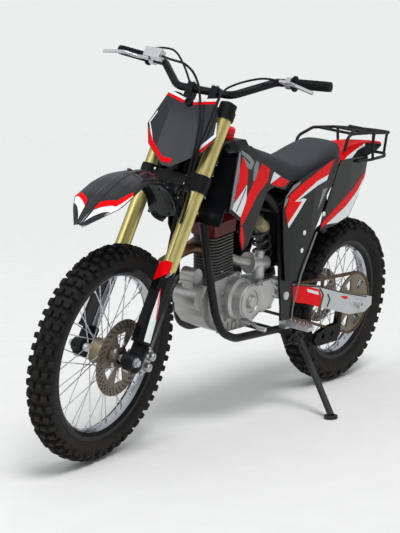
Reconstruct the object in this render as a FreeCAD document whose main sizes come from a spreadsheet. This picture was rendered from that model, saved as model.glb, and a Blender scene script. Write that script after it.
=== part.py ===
import FreeCAD, Part
import Sketcher
import math
import os
from types import SimpleNamespace
from FreeCAD import Placement, Rotation, Vector

# A motocross bike on its side stand. Every piece is drawn on the upright bike and then placed:
# X points forwards from the rear axle, Y to the bike's left and Z up from the ground.
# Steered pieces are drawn along the steering axis instead: X forwards from it, Y left, Z up along it.

# Driving dimensions in millimetres and degrees
SIZES = {
    "wheelbase": 1405,
    "rake_angle": 25.5,
    "axle_lead": 60,
    "lean_angle": 8,
    "steer_turn": 7,
    "origin_ahead": 712,
    "origin_left": 171,
    "part_gap": 0.3,
    "running_gap": 0.05,
    "moving_gap": 5,
    "front_tyre_radius": 350,
    "front_tyre_half_width": 46,
    "front_rim_radius": 280,
    "front_rim_half_width": 30,
    "rear_tyre_radius": 330,
    "rear_tyre_half_width": 58,
    "rear_rim_radius": 242,
    "rear_rim_half_width": 37,
    "tread_flat": 12,
    "tyre_wall": 12,
    "rim_wall": 4.5,
    "rim_depth": 29,
    "spoke_count": 36,
    "spoke_radius": 1.7,
    "axle_radius": 10,
    "axle_half_length": 124,
    "front_disc_radius": 124,
    "front_disc_left": 60,
    "rear_disc_radius": 110,
    "rear_disc_right": 66,
    "disc_thickness": 4,
    "fork_ahead": 28,
    "fork_half_spacing": 97,
    "fork_outer_radius": 26.5,
    "fork_inner_radius": 21.5,
    "fork_outer_low": 304,
    "fork_outer_high": 862,
    "fork_slider_high": 478,
    "lower_clamp_low": 575,
    "lower_clamp_height": 57,
    "upper_clamp_low": 832,
    "clamp_wall": 5,
    "stem_radius": 12.5,
    "head_tube_radius": 31,
    "bar_height": 911,
    "bar_ahead": 44,
    "bar_radius": 13,
    "bar_end_radius": 11,
    "bar_half_width": 405,
    "grip_radius": 16.5,
    "grip_length": 128,
    "panel_thickness": 4,
    "frame_tube_radius": 14,
    "subframe_tube_radius": 10,
    "pivot_ahead": 560,
    "pivot_height": 442,
    "pivot_radius": 15,
    "plate_inside": 110,
    "plate_thickness": 8,
    "swingarm_inside": 88,
    "swingarm_thickness": 20,
    "chain_left": 78,
    "chain_width": 12,
    "chain_pitch": 15.875,
    "rear_teeth": 49,
    "front_teeth": 13,
    "chain_half_height": 6.5,
    "sprocket_ahead": 655,
    "sprocket_height": 462,
    "sprocket_thickness": 7,
    "engine_half_width": 60,
    "round_cover_radius": 64,
    "fin_count": 13,
    "fin_thickness": 2.6,
    "fin_pitch": 10.6,
    "spring_radius": 37,
    "spring_wire": 5.5,
    "spring_coils": 6,
    "rack_tube_radius": 6,
    "peg_length": 112,
    "stand_leg_radius": 12,
    "stand_foot_radius": 24,
    "stand_eye_half": 12,
    "stand_pin_radius": 6,
    "stand_side_gap": 2.5,
    "spindle_bore_radius": 6.5,
    "cap_radius": 27,
}


class Size:
    """A number together with the spreadsheet text it comes from, so that sums and shares of it stay live."""

    def __init__(self, value, text):
        self.value = float(value)
        self.text = text

    def __float__(self):
        return self.value

    def __add__(self, other):
        other = as_size(other)
        return Size(self.value + other.value, f"({self.text} + {other.text})")

    def __radd__(self, other):
        return as_size(other) + self

    def __sub__(self, other):
        other = as_size(other)
        return Size(self.value - other.value, f"({self.text} - {other.text})")

    def __rsub__(self, other):
        return as_size(other) - self

    def __mul__(self, other):
        other = as_size(other)
        return Size(self.value * other.value, f"({self.text} * {other.text})")

    def __rmul__(self, other):
        return as_size(other) * self

    def __truediv__(self, other):
        other = as_size(other)
        return Size(self.value / other.value, f"({self.text} / {other.text})")

    def __neg__(self):
        return Size(-self.value, f"(0 - {self.text})")


def as_size(number):
    if isinstance(number, Size):
        return number
    return Size(number, f"({float(number)!r})")


doc = FreeCAD.newDocument("motocross_bike")
sheet = doc.addObject("Spreadsheet::Sheet", "Dimensions")
for row, (alias, number) in enumerate(SIZES.items(), start=1):
    sheet.set(f"A{row}", alias.replace("_", " "))
    sheet.set(f"B{row}", str(number))
    sheet.setAlias(f"B{row}", alias)
doc.recompute()
d = SimpleNamespace(**{alias: Size(sheet.get(alias), f"Dimensions.{alias}") for alias in SIZES})


# Frames: where the upright bike, the steering and the wheels stand
rake = math.radians(float(d.rake_angle))
lean = math.radians(float(d.lean_angle))
axis_up = Vector(-math.sin(rake), 0, math.cos(rake))
axis_ahead = Vector(math.cos(rake), 0, math.sin(rake))
steer_base = Vector(float(d.wheelbase), 0, float(d.front_tyre_radius)) - axis_ahead * float(d.axle_lead)
ground_lift = float(d.tread_flat) * math.sin(lean)

BIKE = Placement(
    Vector(-float(d.origin_ahead), -float(d.origin_left), ground_lift),
    Rotation(Vector(1, 0, 0), -float(d.lean_angle)),
)
RAKED = Placement(steer_base, Rotation(Vector(0, 1, 0), -float(d.rake_angle)))
STEERING = BIKE * RAKED * Placement(Vector(0, 0, 0), Rotation(Vector(0, 0, 1), float(d.steer_turn)))
FRONT_WHEEL = STEERING * Placement(Vector(float(d.axle_lead), 0, 0), Rotation())
REAR_AXLE = Placement(Vector(0, 0, float(d.rear_tyre_radius)), Rotation())
REAR_WHEEL = BIKE * REAR_AXLE

nodes = {}


def v(x, y, z):
    return Vector(float(x), float(y), float(z))


def along_axis(ahead, left, up):
    """A point given along the steering axis, on the upright bike with its bars straight."""
    return RAKED.multVec(v(ahead, left, up))


def keep(piece, label, placement=None):
    """Names a finished piece as a node of the part and puts it in its place."""
    piece.Label = label
    if placement is not None:
        piece.Placement = placement
    nodes[label] = piece
    return piece


# Sketches and features
def origin_plane(body, role):
    return next(feature for feature in body.Origin.OriginFeatures if feature.Role == role)


def hold(target, name, size):
    """Sets a length and, where it comes from the sheet, ties it to its cell."""
    size = as_size(size)
    setattr(target, name, size.value)
    if "Dimensions" in size.text:
        target.setExpression(name, size.text)


def new_sketch(body, role, offset=0):
    sketch = body.newObject("Sketcher::SketchObject", "Sketch")
    sketch.AttachmentSupport = (origin_plane(body, role), [""])
    sketch.MapMode = "FlatFace"
    offset = as_size(offset)
    sketch.AttachmentOffset = Placement(Vector(0, 0, offset.value), Rotation())
    if "Dimensions" in offset.text:
        sketch.setExpression("AttachmentOffset.Base.z", offset.text)
    return sketch


def tie(sketch, index, size):
    size = as_size(size)
    if "Dimensions" in size.text:
        sketch.setExpression(f"Constraints[{index}]", size.text)


def outline(body, role, points, offset=0):
    """A closed outline, each corner held by its two distances from the sketch's origin."""
    sketch = new_sketch(body, role, offset)
    corners = [(as_size(x), as_size(y)) for x, y in points]
    for index, (x, y) in enumerate(corners):
        to_x, to_y = corners[(index + 1) % len(corners)]
        line = Part.LineSegment(v(x, y, 0), v(to_x, to_y, 0))
        sketch.addGeometry(line, False)
    for index in range(len(corners)):
        sketch.addConstraint(Sketcher.Constraint("Coincident", index, 2, (index + 1) % len(corners), 1))
    for index, (x, y) in enumerate(corners):
        tie(sketch, sketch.addConstraint(Sketcher.Constraint("DistanceX", index, 1, x.value)), x)
        tie(sketch, sketch.addConstraint(Sketcher.Constraint("DistanceY", index, 1, y.value)), y)
    return sketch


def rings(body, role, circles, offset=0):
    """Circles, each given as centre x, centre y and radius."""
    sketch = new_sketch(body, role, offset)
    for index, (x, y, radius) in enumerate(circles):
        x, y, radius = as_size(x), as_size(y), as_size(radius)
        sketch.addGeometry(Part.Circle(v(x, y, 0), Vector(0, 0, 1), radius.value), False)
        tie(sketch, sketch.addConstraint(Sketcher.Constraint("DistanceX", index, 3, x.value)), x)
        tie(sketch, sketch.addConstraint(Sketcher.Constraint("DistanceY", index, 3, y.value)), y)
        tie(sketch, sketch.addConstraint(Sketcher.Constraint("Radius", index, radius.value)), radius)
    return sketch


def new_body(name):
    return doc.addObject("PartDesign::Body", name)


def pad(body, sketch, length, both_ways=False, backwards=False):
    feature = body.newObject("PartDesign::Pad", "Pad")
    feature.Profile = sketch
    if both_ways:
        feature.SideType = "Symmetric"
    feature.Reversed = backwards
    hold(feature, "Length", length)
    return feature


def pocket(body, sketch):
    """Cuts the sketch right through the body, both ways from its plane."""
    feature = body.newObject("PartDesign::Pocket", "Pocket")
    feature.Profile = sketch
    feature.Type = "ThroughAll"
    feature.SideType = "Symmetric"
    return feature


def turn(body, sketch, axis="H_Axis"):
    feature = body.newObject("PartDesign::Revolution", "Revolution")
    feature.Profile = sketch
    feature.ReferenceAxis = (sketch, [axis])
    feature.Angle = 360
    return feature


def around(body, feature, sketch, count, axis="H_Axis"):
    pattern = body.newObject("PartDesign::PolarPattern", "PolarPattern")
    pattern.Originals = [feature]
    pattern.Axis = (sketch, [axis])
    pattern.Angle = 360
    pattern.Occurrences = int(float(count))
    body.Tip = pattern
    return pattern


def loft(body, stations, role="YZ_Plane", ruled=True):
    """A solid through closed outlines, each given as its distance along the normal and its corners."""
    sections = [outline(body, role, corners, offset) for offset, corners in stations]
    feature = body.newObject("PartDesign::AdditiveLoft", "Loft")
    feature.Profile = sections[0]
    feature.Sections = sections[1:]
    feature.Ruled = ruled
    return feature


def fused(name, pieces):
    union = doc.addObject("Part::MultiFuse", name)
    union.Shapes = pieces
    return union


def shared(name, pieces):
    common = doc.addObject("Part::MultiCommon", name)
    common.Shapes = pieces
    return common


def cut(name, base, tool):
    difference = doc.addObject("Part::Cut", name)
    difference.Base = base
    difference.Tool = tool
    return difference


def both_sides(name, piece):
    """The piece and its mirror image across the bike's middle plane, as two solids in one node."""
    mirrored = doc.addObject("Part::Mirroring", name + "Mirrored")
    mirrored.Source = piece
    mirrored.Normal = Vector(0, 1, 0)
    pair = doc.addObject("Part::Compound", name)
    pair.Links = [piece, mirrored]
    return pair


def rod(name, start, end, radius):
    """A straight round bar between two points."""
    bar = doc.addObject("Part::Cylinder", name)
    hold(bar, "Radius", radius)
    bar.Height = (end - start).Length
    bar.Placement = Placement(start, Rotation(Vector(0, 0, 1), end - start))
    return bar


def block(name, low, high):
    """An upright box between its lowest and highest corners."""
    box = doc.addObject("Part::Box", name)
    box.Length = float(high[0]) - float(low[0])
    box.Width = float(high[1]) - float(low[1])
    box.Height = float(high[2]) - float(low[2])
    box.Placement = Placement(v(*low), Rotation())
    return box


def bent_path(points, bend_radius, name=""):
    """Straight runs joined by tangent arcs of the given radius, or of the largest that the runs allow.
    A named path prints its radii."""
    edges = []
    radii = []
    start = points[0]
    for before, corner, after in zip(points, points[1:], points[2:]):
        back = (before - corner).normalize()
        on = (after - corner).normalize()
        half_turn = (math.pi - back.getAngle(on)) / 2
        room = 0.45 * min((before - corner).Length, (after - corner).Length)
        reach = min(bend_radius * math.tan(half_turn), room)
        radius = reach / math.tan(half_turn)
        radii.append(radius)
        middle = corner + (back + on).normalize() * (radius / math.cos(half_turn) - radius)
        edges.append(Part.LineSegment(start, corner + back * reach).toShape())
        edges.append(Part.Arc(corner + back * reach, middle, corner + on * reach).toShape())
        start = corner + on * reach
    edges.append(Part.LineSegment(start, points[-1]).toShape())
    wire = Part.Wire(edges)
    if name:
        print(f"{name} is {wire.Length:.0f} mm long, arc radii {', '.join(f'{radius:.0f}' for radius in radii)} mm")
    return wire


def bent_tube(name, points, radius, bend_radius, cord=False):
    """A round tube swept along straight runs and arcs."""
    spine = doc.addObject("Part::Feature", name + "Path")
    spine.Shape = bent_path(points, bend_radius, name if cord else "")
    section = doc.addObject("Part::Circle", name + "Section")
    hold(section, "Radius", radius)
    section.Placement = Placement(points[0], Rotation(Vector(0, 0, 1), points[1] - points[0]))
    tube = doc.addObject("Part::Sweep", name)
    tube.Sections = [section]
    tube.Spine = (spine, [f"Edge{number + 1}" for number in range(len(spine.Shape.Edges))])
    tube.Solid = True
    tube.Frenet = False
    return tube


def mirrored_points(points):
    return [Vector(point.x, -point.y, point.z) for point in points]


# Wheels, drawn about their own axle along Y
def tyre(label, radius, half_width, rim_radius, rim_half_width, placement):
    """A hollow tyre section turned about the axle: tread, shoulders, walls and beads."""
    body = new_body(label)
    bead = rim_half_width - d.rim_wall - d.part_gap
    seat = rim_radius - 16
    height = radius - rim_radius
    half = [
        (d.tread_flat, radius),
        (half_width * 0.72, radius - height * 0.12),
        (half_width, radius - height * 0.36),
        (half_width * 1.0, radius - height * 0.62),
        (half_width * 0.84, rim_radius + height * 0.12),
        (bead, rim_radius),
        (bead, seat),
        (bead - 9, seat),
        (half_width - d.tyre_wall, radius - height * 0.55),
        (half_width * 0.55, radius - d.tyre_wall),
    ]
    mirrored_half = [(-y, r) for y, r in reversed(half)]
    turn(body, outline(body, "YZ_Plane", half + mirrored_half))
    return keep(body, label, placement)


def rim(label, rim_radius, half_width, placement):
    """A rim with two flanges, bead seats and a well for the spokes."""
    body = new_body(label)
    seat = rim_radius - 16 - d.part_gap
    inner = rim_radius - d.rim_depth
    half = [
        (half_width, rim_radius),
        (half_width, seat - d.rim_wall),
        (half_width * 0.45, inner),
    ]
    inside = [
        (half_width - d.rim_wall, rim_radius),
        (half_width - d.rim_wall, seat),
        (half_width * 0.4, seat),
        (half_width * 0.3, inner + d.rim_wall),
    ]
    section = half + [(-y, r) for y, r in reversed(half)]
    section += [(-y, r) for y, r in inside]
    section += [(y, r) for y, r in reversed(inside)]
    turn(body, outline(body, "YZ_Plane", section))
    return keep(body, label, placement)


def hub(label, section, flange_radius, flange_left, rim_radius, placement):
    """A turned hub with its crossed spokes, which reach the rim's well."""
    body = new_body(label + "Turned")
    turn(body, outline(body, "YZ_Plane", section))
    reach = float(rim_radius - d.rim_depth) - 0.6
    start_radius = float(flange_radius) - 4
    count = int(float(d.spoke_count))
    spokes = []
    for number in range(count):
        side = 1 if number % 2 == 0 else -1
        swing = 1 if number % 4 < 2 else -1
        rim_angle = 2 * math.pi * number / count
        hub_angle = rim_angle + swing * math.radians(62)
        low = v(start_radius * math.cos(hub_angle), side * float(flange_left), start_radius * math.sin(hub_angle))
        high = v(reach * math.cos(rim_angle), side * 5, reach * math.sin(rim_angle))
        spokes.append(rod(f"{label}Spoke{number}", low, high, d.spoke_radius))
    return keep(fused(label, [body] + spokes), label, placement)


def drilled_disc(label, radius, bore, left, thickness, carrier, placement):
    """A brake disc: a drilled ring on six arms, with the sleeve that bolts it to the hub."""
    body = new_body(label)
    inner = left - thickness / 2
    outer = left + thickness / 2
    section = [(inner, bore), (inner, radius), (outer, radius), (outer, bore)]
    turned = outline(body, "YZ_Plane", section)
    turn(body, turned)
    window = outline(body, "XZ_Plane", [
        (bore + 14, -12),
        (radius * 0.66, -24),
        (radius * 0.66, 24),
        (bore + 14, 12),
    ])
    around(body, pocket(body, window), turned, 6)
    holes = rings(body, "XZ_Plane", [(radius * 0.76, 0, 3.5), (radius * 0.88, 9, 3.5)])
    around(body, pocket(body, holes), turned, 18)
    sleeve = new_body(label + "Sleeve")
    near, far = carrier
    turn(sleeve, outline(sleeve, "YZ_Plane", [(near, bore), (near, bore + 10), (far, bore + 10), (far, bore)]))
    return keep(fused(label, [body, sleeve]), label, placement)


def front_wheel():
    tyre("front_tyre", d.front_tyre_radius, d.front_tyre_half_width, d.front_rim_radius,
         d.front_rim_half_width, FRONT_WHEEL)
    rim("front_rim", d.front_rim_radius, d.front_rim_half_width, FRONT_WHEEL)
    bore = d.axle_radius + d.running_gap
    flange = 42
    hub("front_hub", [
        (-35, bore), (-35, flange - 6), (-33, flange), (-27, flange), (-20, 38),
        (16, 27), (27, flange), (33, flange), (35, flange - 6), (35, bore),
    ], flange, 30, d.front_rim_radius, FRONT_WHEEL)
    drilled_disc("front_disc", d.front_disc_radius, d.axle_radius + 10, d.front_disc_left, d.disc_thickness,
                 (as_size(35) + d.part_gap, d.front_disc_left), FRONT_WHEEL)


def rear_wheel():
    tyre("rear_tyre", d.rear_tyre_radius, d.rear_tyre_half_width, d.rear_rim_radius,
         d.rear_rim_half_width, REAR_WHEEL)
    rim("rear_rim", d.rear_rim_radius, d.rear_rim_half_width, REAR_WHEEL)
    bore = d.axle_radius + d.running_gap
    flange = 44
    hub("rear_hub", [
        (-46, bore), (-46, 30), (-43, flange), (-36, flange), (-32, 32),
        (32, 32), (36, flange), (43, flange), (46, 34), (46, bore),
    ], flange, 39, d.rear_rim_radius, REAR_WHEEL)
    drilled_disc("rear_disc", d.rear_disc_radius, d.axle_radius + 10, -d.rear_disc_right, d.disc_thickness,
                 (-d.rear_disc_right, as_size(-46) - d.part_gap), REAR_WHEEL)
    rear_sprocket()


def pitch_radius(teeth):
    """Radius of the circle on which a chain's pins lie round a sprocket."""
    return float(d.chain_pitch) / (2 * math.sin(math.pi / float(teeth)))


def rear_sprocket():
    """The driven sprocket's plate, inside the chain, with its windows and the carrier on the hub."""
    body = new_body("RearSprocketPlate")
    radius = pitch_radius(d.rear_teeth) - float(d.chain_half_height) - float(d.part_gap)
    low = d.chain_left - d.sprocket_thickness / 2
    high = d.chain_left + d.sprocket_thickness / 2
    bore = d.axle_radius + 10
    plate = outline(body, "YZ_Plane", [(low, bore), (low, radius), (high, radius), (high, bore)])
    turn(body, plate)
    window = outline(body, "XZ_Plane", [(58, -10), (radius * 0.86, -24), (radius * 0.86, 24), (58, 10)])
    around(body, pocket(body, window), plate, 6)
    carrier = new_body("RearSprocketCarrier")
    start = as_size(46) + d.part_gap
    turn(carrier, outline(carrier, "YZ_Plane", [(start, bore), (start, 40), (low, 52), (high, 52), (high, bore)]))
    keep(fused("RearSprocket", [body, carrier]), "rear_sprocket", REAR_WHEEL)


# Steering: fork, clamps, bars and what they carry
def leg_ring(name, radius, low, high):
    """A cylinder round the left fork leg."""
    return rod(name, v(d.fork_ahead, d.fork_half_spacing, low), v(d.fork_ahead, d.fork_half_spacing, high), radius)


def fork_outer_tubes():
    body = new_body("ForkOuterTube")
    bore = d.fork_inner_radius + d.part_gap
    low = d.fork_outer_low
    turn(body, outline(body, "XZ_Plane", [
        (0, d.fork_outer_high),
        (d.fork_outer_radius, d.fork_outer_high),
        (d.fork_outer_radius, d.lower_clamp_low - 8),
        (d.fork_outer_radius - 1.5, d.lower_clamp_low - 30),
        (d.fork_outer_radius - 1.5, low + 6),
        (d.fork_outer_radius - 3, low),
        (bore, low),
        (bore, d.fork_slider_high + 4),
        (0, d.fork_slider_high + 4),
    ]), "V_Axis")
    body.Placement = Placement(v(d.fork_ahead, d.fork_half_spacing, 0), Rotation())
    keep(both_sides("ForkOuterTubes", body), "fork_outer_tubes", STEERING)


def fork_sliders():
    """The bright inner tubes with the castings that clamp the axle."""
    tube = leg_ring("SliderTube", d.fork_inner_radius, 30, d.fork_slider_high)
    casting = leg_ring("SliderCasting", d.fork_inner_radius + 5, -26, 72)
    near = d.fork_half_spacing - 22
    far = d.fork_half_spacing + 20
    boss = rod("SliderBoss", v(d.axle_lead, near, 0), v(d.axle_lead, far, 0), d.axle_radius + 14)
    web = block("SliderWeb", v(d.fork_ahead, d.fork_half_spacing - 15, -20), v(d.axle_lead, d.fork_half_spacing + 15, 22))
    solid = fused("SliderSolid", [tube, casting, boss, web])
    bore = rod("SliderBore", v(d.axle_lead, near - 5, 0), v(d.axle_lead, far + 5, 0), d.axle_radius + d.running_gap)
    keep(both_sides("ForkSliders", cut("SliderCut", solid, bore)), "fork_sliders", STEERING)


def front_axle():
    """The spindle through both castings with its spacers and nut."""
    reach = d.axle_half_length
    spindle = rod("FrontSpindle", v(d.axle_lead, -reach, 0), v(d.axle_lead, reach, 0), d.axle_radius)
    near = d.fork_half_spacing - 22
    left = rod("FrontSpacerLeft", v(d.axle_lead, d.front_disc_left + 6, 0), v(d.axle_lead, near - d.part_gap, 0), 14)
    right = rod("FrontSpacerRight", v(d.axle_lead, -40, 0), v(d.axle_lead, -near + d.part_gap, 0), 14)
    nut = rod("FrontNut", v(d.axle_lead, d.fork_half_spacing + 20 + d.part_gap, 0), v(d.axle_lead, reach, 0), 15)
    bore = rod("FrontBore", v(d.axle_lead, -reach - 2, 0), v(d.axle_lead, reach + 2, 0), d.spindle_bore_radius)
    keep(cut("FrontAxle", fused("FrontAxleSolid", [spindle, left, right, nut]), bore), "front_axle", STEERING)


CLAMP_OUTLINE = [
    (12, -1.0), (44, -1.0), (56, -0.5), (56, 0.5), (44, 1.0), (12, 1.0), (-12, 0.6), (-24, 0.25), (-24, -0.25),
    (-12, -0.6),
]


def clamp_plate(name, low, height):
    """A fork clamp's plate, split round both legs and the stem."""
    body = new_body(name)
    spread = d.fork_half_spacing
    pad(body, outline(body, "XY_Plane", [(x, spread * share) for x, share in CLAMP_OUTLINE], low), height)
    bore = d.fork_outer_radius + d.part_gap
    pocket(body, rings(body, "XY_Plane", [
        (d.fork_ahead, spread, bore),
        (d.fork_ahead, -spread, bore),
    ], low))
    return body


def upper_clamp():
    """The top clamp with its bar risers, stem nut and the fork caps."""
    height = d.fork_outer_high - d.upper_clamp_low
    plate = clamp_plate("UpperClampPlate", d.upper_clamp_low, height)
    top = d.fork_outer_high
    risers = []
    for side in (-1, 1):
        riser = block(f"Riser{side}", v(d.bar_ahead - 18, side * 45 - 13, top - 1),
                      v(d.bar_ahead + 18, side * 45 + 13, d.bar_height + 16.5))
        risers.append(riser)
    solid = fused("UpperClampSolid", [plate] + risers + clamp_bands("UpperClamp", d.upper_clamp_low, top))
    bar_hole = rod("BarHole", v(d.bar_ahead, -90, d.bar_height), v(d.bar_ahead, 90, d.bar_height),
                   d.bar_radius + d.running_gap)
    stem_hole = rod("StemHole", v(0, 0, d.upper_clamp_low - 5), v(0, 0, d.fork_outer_high + 5),
                    d.stem_radius + d.running_gap)
    clamp = cut("UpperClampCut", solid, fused("UpperClampHoles", [bar_hole, stem_hole]))
    cap = leg_ring("ForkCap", d.fork_outer_radius + 2, top + d.part_gap, top + 24)
    nut = rod("StemNut", v(0, 0, top + d.part_gap), v(0, 0, top + 14), 18)
    group = doc.addObject("Part::Compound", "UpperClamp")
    group.Links = [clamp, both_sides("ForkCaps", cap), nut]
    keep(group, "upper_clamp", STEERING)


def clamp_bands(name, low, high):
    """A round band about each leg."""
    bore = d.fork_outer_radius + d.part_gap
    bands = []
    for side in (-1, 1):
        centre_low = v(d.fork_ahead, d.fork_half_spacing * side, low)
        centre_high = v(d.fork_ahead, d.fork_half_spacing * side, high)
        ring = rod(f"{name}Band{side}", centre_low, centre_high, bore + d.clamp_wall)
        hole = rod(f"{name}BandHole{side}", centre_low - Vector(0, 0, 1), centre_high + Vector(0, 0, 1), bore)
        bands.append(cut(f"{name}BandCut{side}", ring, hole))
    return bands


def lower_clamp():
    """The bottom clamp: two deep bands joined by a plate, with the stem pressed into it."""
    low = d.lower_clamp_low
    plate = clamp_plate("LowerClampPlate", low + 8, d.lower_clamp_height - 17)
    bands = clamp_bands("LowerClamp", low, low + d.lower_clamp_height)
    stem = rod("Stem", v(0, 0, low + 10), v(0, 0, d.fork_outer_high), d.stem_radius)
    keep(fused("LowerClamp", [plate, stem] + bands), "lower_clamp", STEERING)


def fork_guards():
    """Plastic shields wrapped round the front and outside of the inner tubes."""
    body = new_body("ForkGuardShield")
    t = d.panel_thickness
    x = d.fork_ahead
    y = d.fork_half_spacing
    pad(body, outline(body, "XY_Plane", [
        (x - 24, y + 30), (x + 10, y + 39), (x + 34, y + 31), (x + 45, y + 8), (x + 40, y - 18),
        (x + 40 - t, y - 17), (x + 45 - t, y + 7), (x + 33 - t, y + 29 - t), (x + 9, y + 39 - t), (x - 24, y + 30 - t),
    ], 62), 283)
    trim = outline(body, "XZ_Plane", [(-40, 345), (0, 350), (90, 350), (90, 262)])
    pocket(body, trim)
    bosses = []
    for height in (84, 120):
        bosses.append(rod(f"GuardBoss{height}", v(x + 4, y + d.fork_inner_radius + 5.3, height - 40 + 24),
                          v(x + 4, y + 36, height - 40 + 24), 6))
    keep(both_sides("ForkGuards", fused("ForkGuard", [body] + bosses)), "fork_guards", STEERING)


def front_fender():
    """A beaked fender arched over the wheel, as a shell through cross sections along the steering's X."""
    body = new_body("FenderShell")
    ridge = [
        (442, 300, 13, 5), (412, 372, 60, 18), (388, 418, 86, 26), (335, 488, 86, 30), (290, 526, 72, 30),
        (222, 560, 62, 34), (150, 573, 58, 36), (60, 567, 56, 40), (12, 556, 58, 96), (-40, 536, 56, 46),
        (-78, 508, 50, 26),
    ]
    stations = []
    for index, (ahead, up, half, drop) in enumerate(ridge):
        behind = ridge[min(index + 1, len(ridge) - 1)]
        before = ridge[max(index - 1, 0)]
        slope = (behind[1] - before[1]) / (behind[0] - before[0])
        wall = 3.2 * math.hypot(1, slope)
        top = [(-half, up - drop), (-half * 0.8, up - drop * 0.34), (-half * 0.16, up),
               (half * 0.16, up), (half * 0.8, up - drop * 0.34), (half, up - drop)]
        under = [(y * 0.94, z - wall) for y, z in reversed(top)]
        stations.append((ahead, top + under))
    loft(body, stations)
    bolts = []
    for ahead, left in ((4, 24), (44, 34)):
        for side in (-1, 1):
            bolts.append(rod(f"FenderBolt{ahead}{side}", v(ahead, side * left, 553), v(
                ahead, side * left, d.lower_clamp_low + 8 - d.part_gap), 8))
    keep(fused("FrontFender", [body] + bolts), "front_fender", STEERING)


def number_plate():
    """A bowed plate in front of the clamps, held by two lugs on the upper clamp."""
    bow = new_body("PlateBow")
    t = 3
    pad(bow, outline(bow, "XY_Plane", [
        (88, -140), (100, -62), (105, 0), (100, 62), (88, 140),
        (88 - t, 140), (100 - t, 62), (105 - t, 0), (100 - t, -62), (88 - t, -140),
    ], 600), 300)
    face = new_body("PlateFace")
    pad(face, outline(face, "YZ_Plane", [
        (-90, 876), (-9, 853), (9, 853), (90, 876), (131, 752), (98, 684), (16, 621),
        (-16, 621), (-98, 684), (-131, 752),
    ], 60), 80)
    sheet_piece = shared("PlateSheet", [bow, face])
    lugs = []
    for side in (-1, 1):
        lugs.append(rod(f"PlateLug{side}", v(as_size(56) + d.part_gap, side * 30, 847), v(100.5, side * 30, 847), 7))
    keep(fused("NumberPlate", [sheet_piece] + lugs), "number_plate", STEERING)


def bar_points(radius_side=1):
    """Centre line of the left half of the bar, from its middle to its end."""
    return [
        v(d.bar_ahead, 0, d.bar_height),
        v(d.bar_ahead, 104 * radius_side, d.bar_height),
        v(-8, 215 * radius_side, 1002),
        v(-4, d.bar_half_width * radius_side, 1017),
    ]


def handlebar():
    """A bar with a thick middle and thinner ends under the grips."""
    left = bar_points(1)
    right = bar_points(-1)
    end_left = left[3] - left[2]
    step = end_left.normalize() * 28
    middle_points = [right[2] + Vector(step.x, -step.y, step.z), right[2], right[1], left[1], left[2], left[2] + step]
    middle = bent_tube("BarMiddle", middle_points, d.bar_radius, 62)
    ends = [rod("BarEndLeft", left[2] + step, left[3], d.bar_end_radius),
            rod("BarEndRight", middle_points[0], right[3], d.bar_end_radius)]
    keep(fused("Handlebar", [middle] + ends), "handlebar", STEERING)


def grips():
    body = new_body("Grip")
    bore = d.bar_end_radius + d.running_gap
    length = d.grip_length
    turn(body, outline(body, "XZ_Plane", [
        (bore, 0), (d.grip_radius, 0), (d.grip_radius, length - 6), (d.grip_radius + 9, length - 5),
        (d.grip_radius + 9, length), (bore, length),
    ]), "V_Axis")
    points = bar_points(1)
    body.Placement = Placement(points[3], Rotation(Vector(0, 0, 1), points[2] - points[3]))
    keep(both_sides("Grips", body), "grips", STEERING)


def lever(name, side, knee, tip):
    """A perch clamped on the bar and the lever blade that pivots in front of it. The blade's knee and tip are
    given ahead of the bar, as a share of the bar's half width, and up."""
    wide = float(d.bar_half_width) * side
    points = bar_points(side)
    along = (points[3] - points[2]).normalize()
    seat = points[3] - along * (float(d.grip_length) + 16.6)
    ring = rod(name + "Ring", seat - along * 9, seat + along * 9, d.bar_end_radius + 8)
    hole = rod(name + "Hole", seat - along * 20, seat + along * 20, d.bar_end_radius + d.running_gap)
    pivot = seat + v(44, side * 2, -16)
    arm = rod(name + "Arm", seat + v(14, 0, -4), pivot, 7.5)
    blade = bent_tube(name + "Blade", [
        pivot + v(4, side * -12, 0),
        pivot + v(10, side * 30, -4),
        v(knee[0], wide * knee[1], knee[2]),
        v(tip[0], wide * tip[1], tip[2]),
    ], 6, 60)
    perch = cut(name + "Perch", fused(name + "Solid", [ring, arm]), hole)
    return [perch, blade], seat, pivot


def clutch_lever():
    pieces, seat, pivot = lever("Clutch", 1, (70, 0.79, 974), (66, 0.958, 960))
    keep(fused("ClutchLever", pieces), "clutch_lever", STEERING)


def brake_lever():
    """The brake's perch and lever with the square master cylinder in front of the bar."""
    pieces, seat, pivot = lever("Brake", -1, (74, 0.815, 984), (76, 1.01, 972))
    tank = block("MasterCylinder", seat + v(20, -13, -12), seat + v(54, 51, 22))
    keep(fused("BrakeLever", pieces + [tank]), "brake_lever", STEERING)


def front_caliper():
    """The caliper behind the left leg, straddling the disc, on an arm from the casting."""
    middle = float(d.front_disc_left)
    gap = float(d.disc_thickness) / 2 + 1.5
    solid = block("CaliperSolid", v(-66, middle - 22, -14), v(-26, middle + 30, 66))
    slot = block("CaliperSlot", v(-70, middle - gap, -20), v(-20, middle + gap, 80))
    arm = block("CaliperArm", v(-30, middle + 12, -8), v(1, middle + 28, 30))
    keep(fused("FrontCaliper", [cut("CaliperCut", solid, slot), arm, block("CaliperBridge", v(
        -70, middle - 22, -14), v(-64, middle + 30, 66))]), "front_caliper", STEERING)


# A bend of this radius is larger than any pair of runs allows, so each arc takes all the room it has
LARGEST = 1000


def hose_points(points):
    return [v(*point) for point in points]


def brake_hose():
    """From the master cylinder over the plate's top edge and down the left leg to the caliper."""
    points = hose_points([
        (34, -206.5, 1006), (76, -140, 984), (104, -68, 970), (119, -14, 940), (120, 22, 900), (118, 46, 850),
        (115, 67, 790), (112, 82, 720), (102, 84, 650), (82, 78, 590), (66, 70, 528), (44, 65, 462), (16, 60, 400),
        (-16, 60, 310), (-44, 64, 205), (-50, 67, 132), (-46, 78, 67),
    ])
    keep(bent_tube("BrakeHose", points, 4, LARGEST, cord=True), "brake_hose", STEERING)


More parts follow.
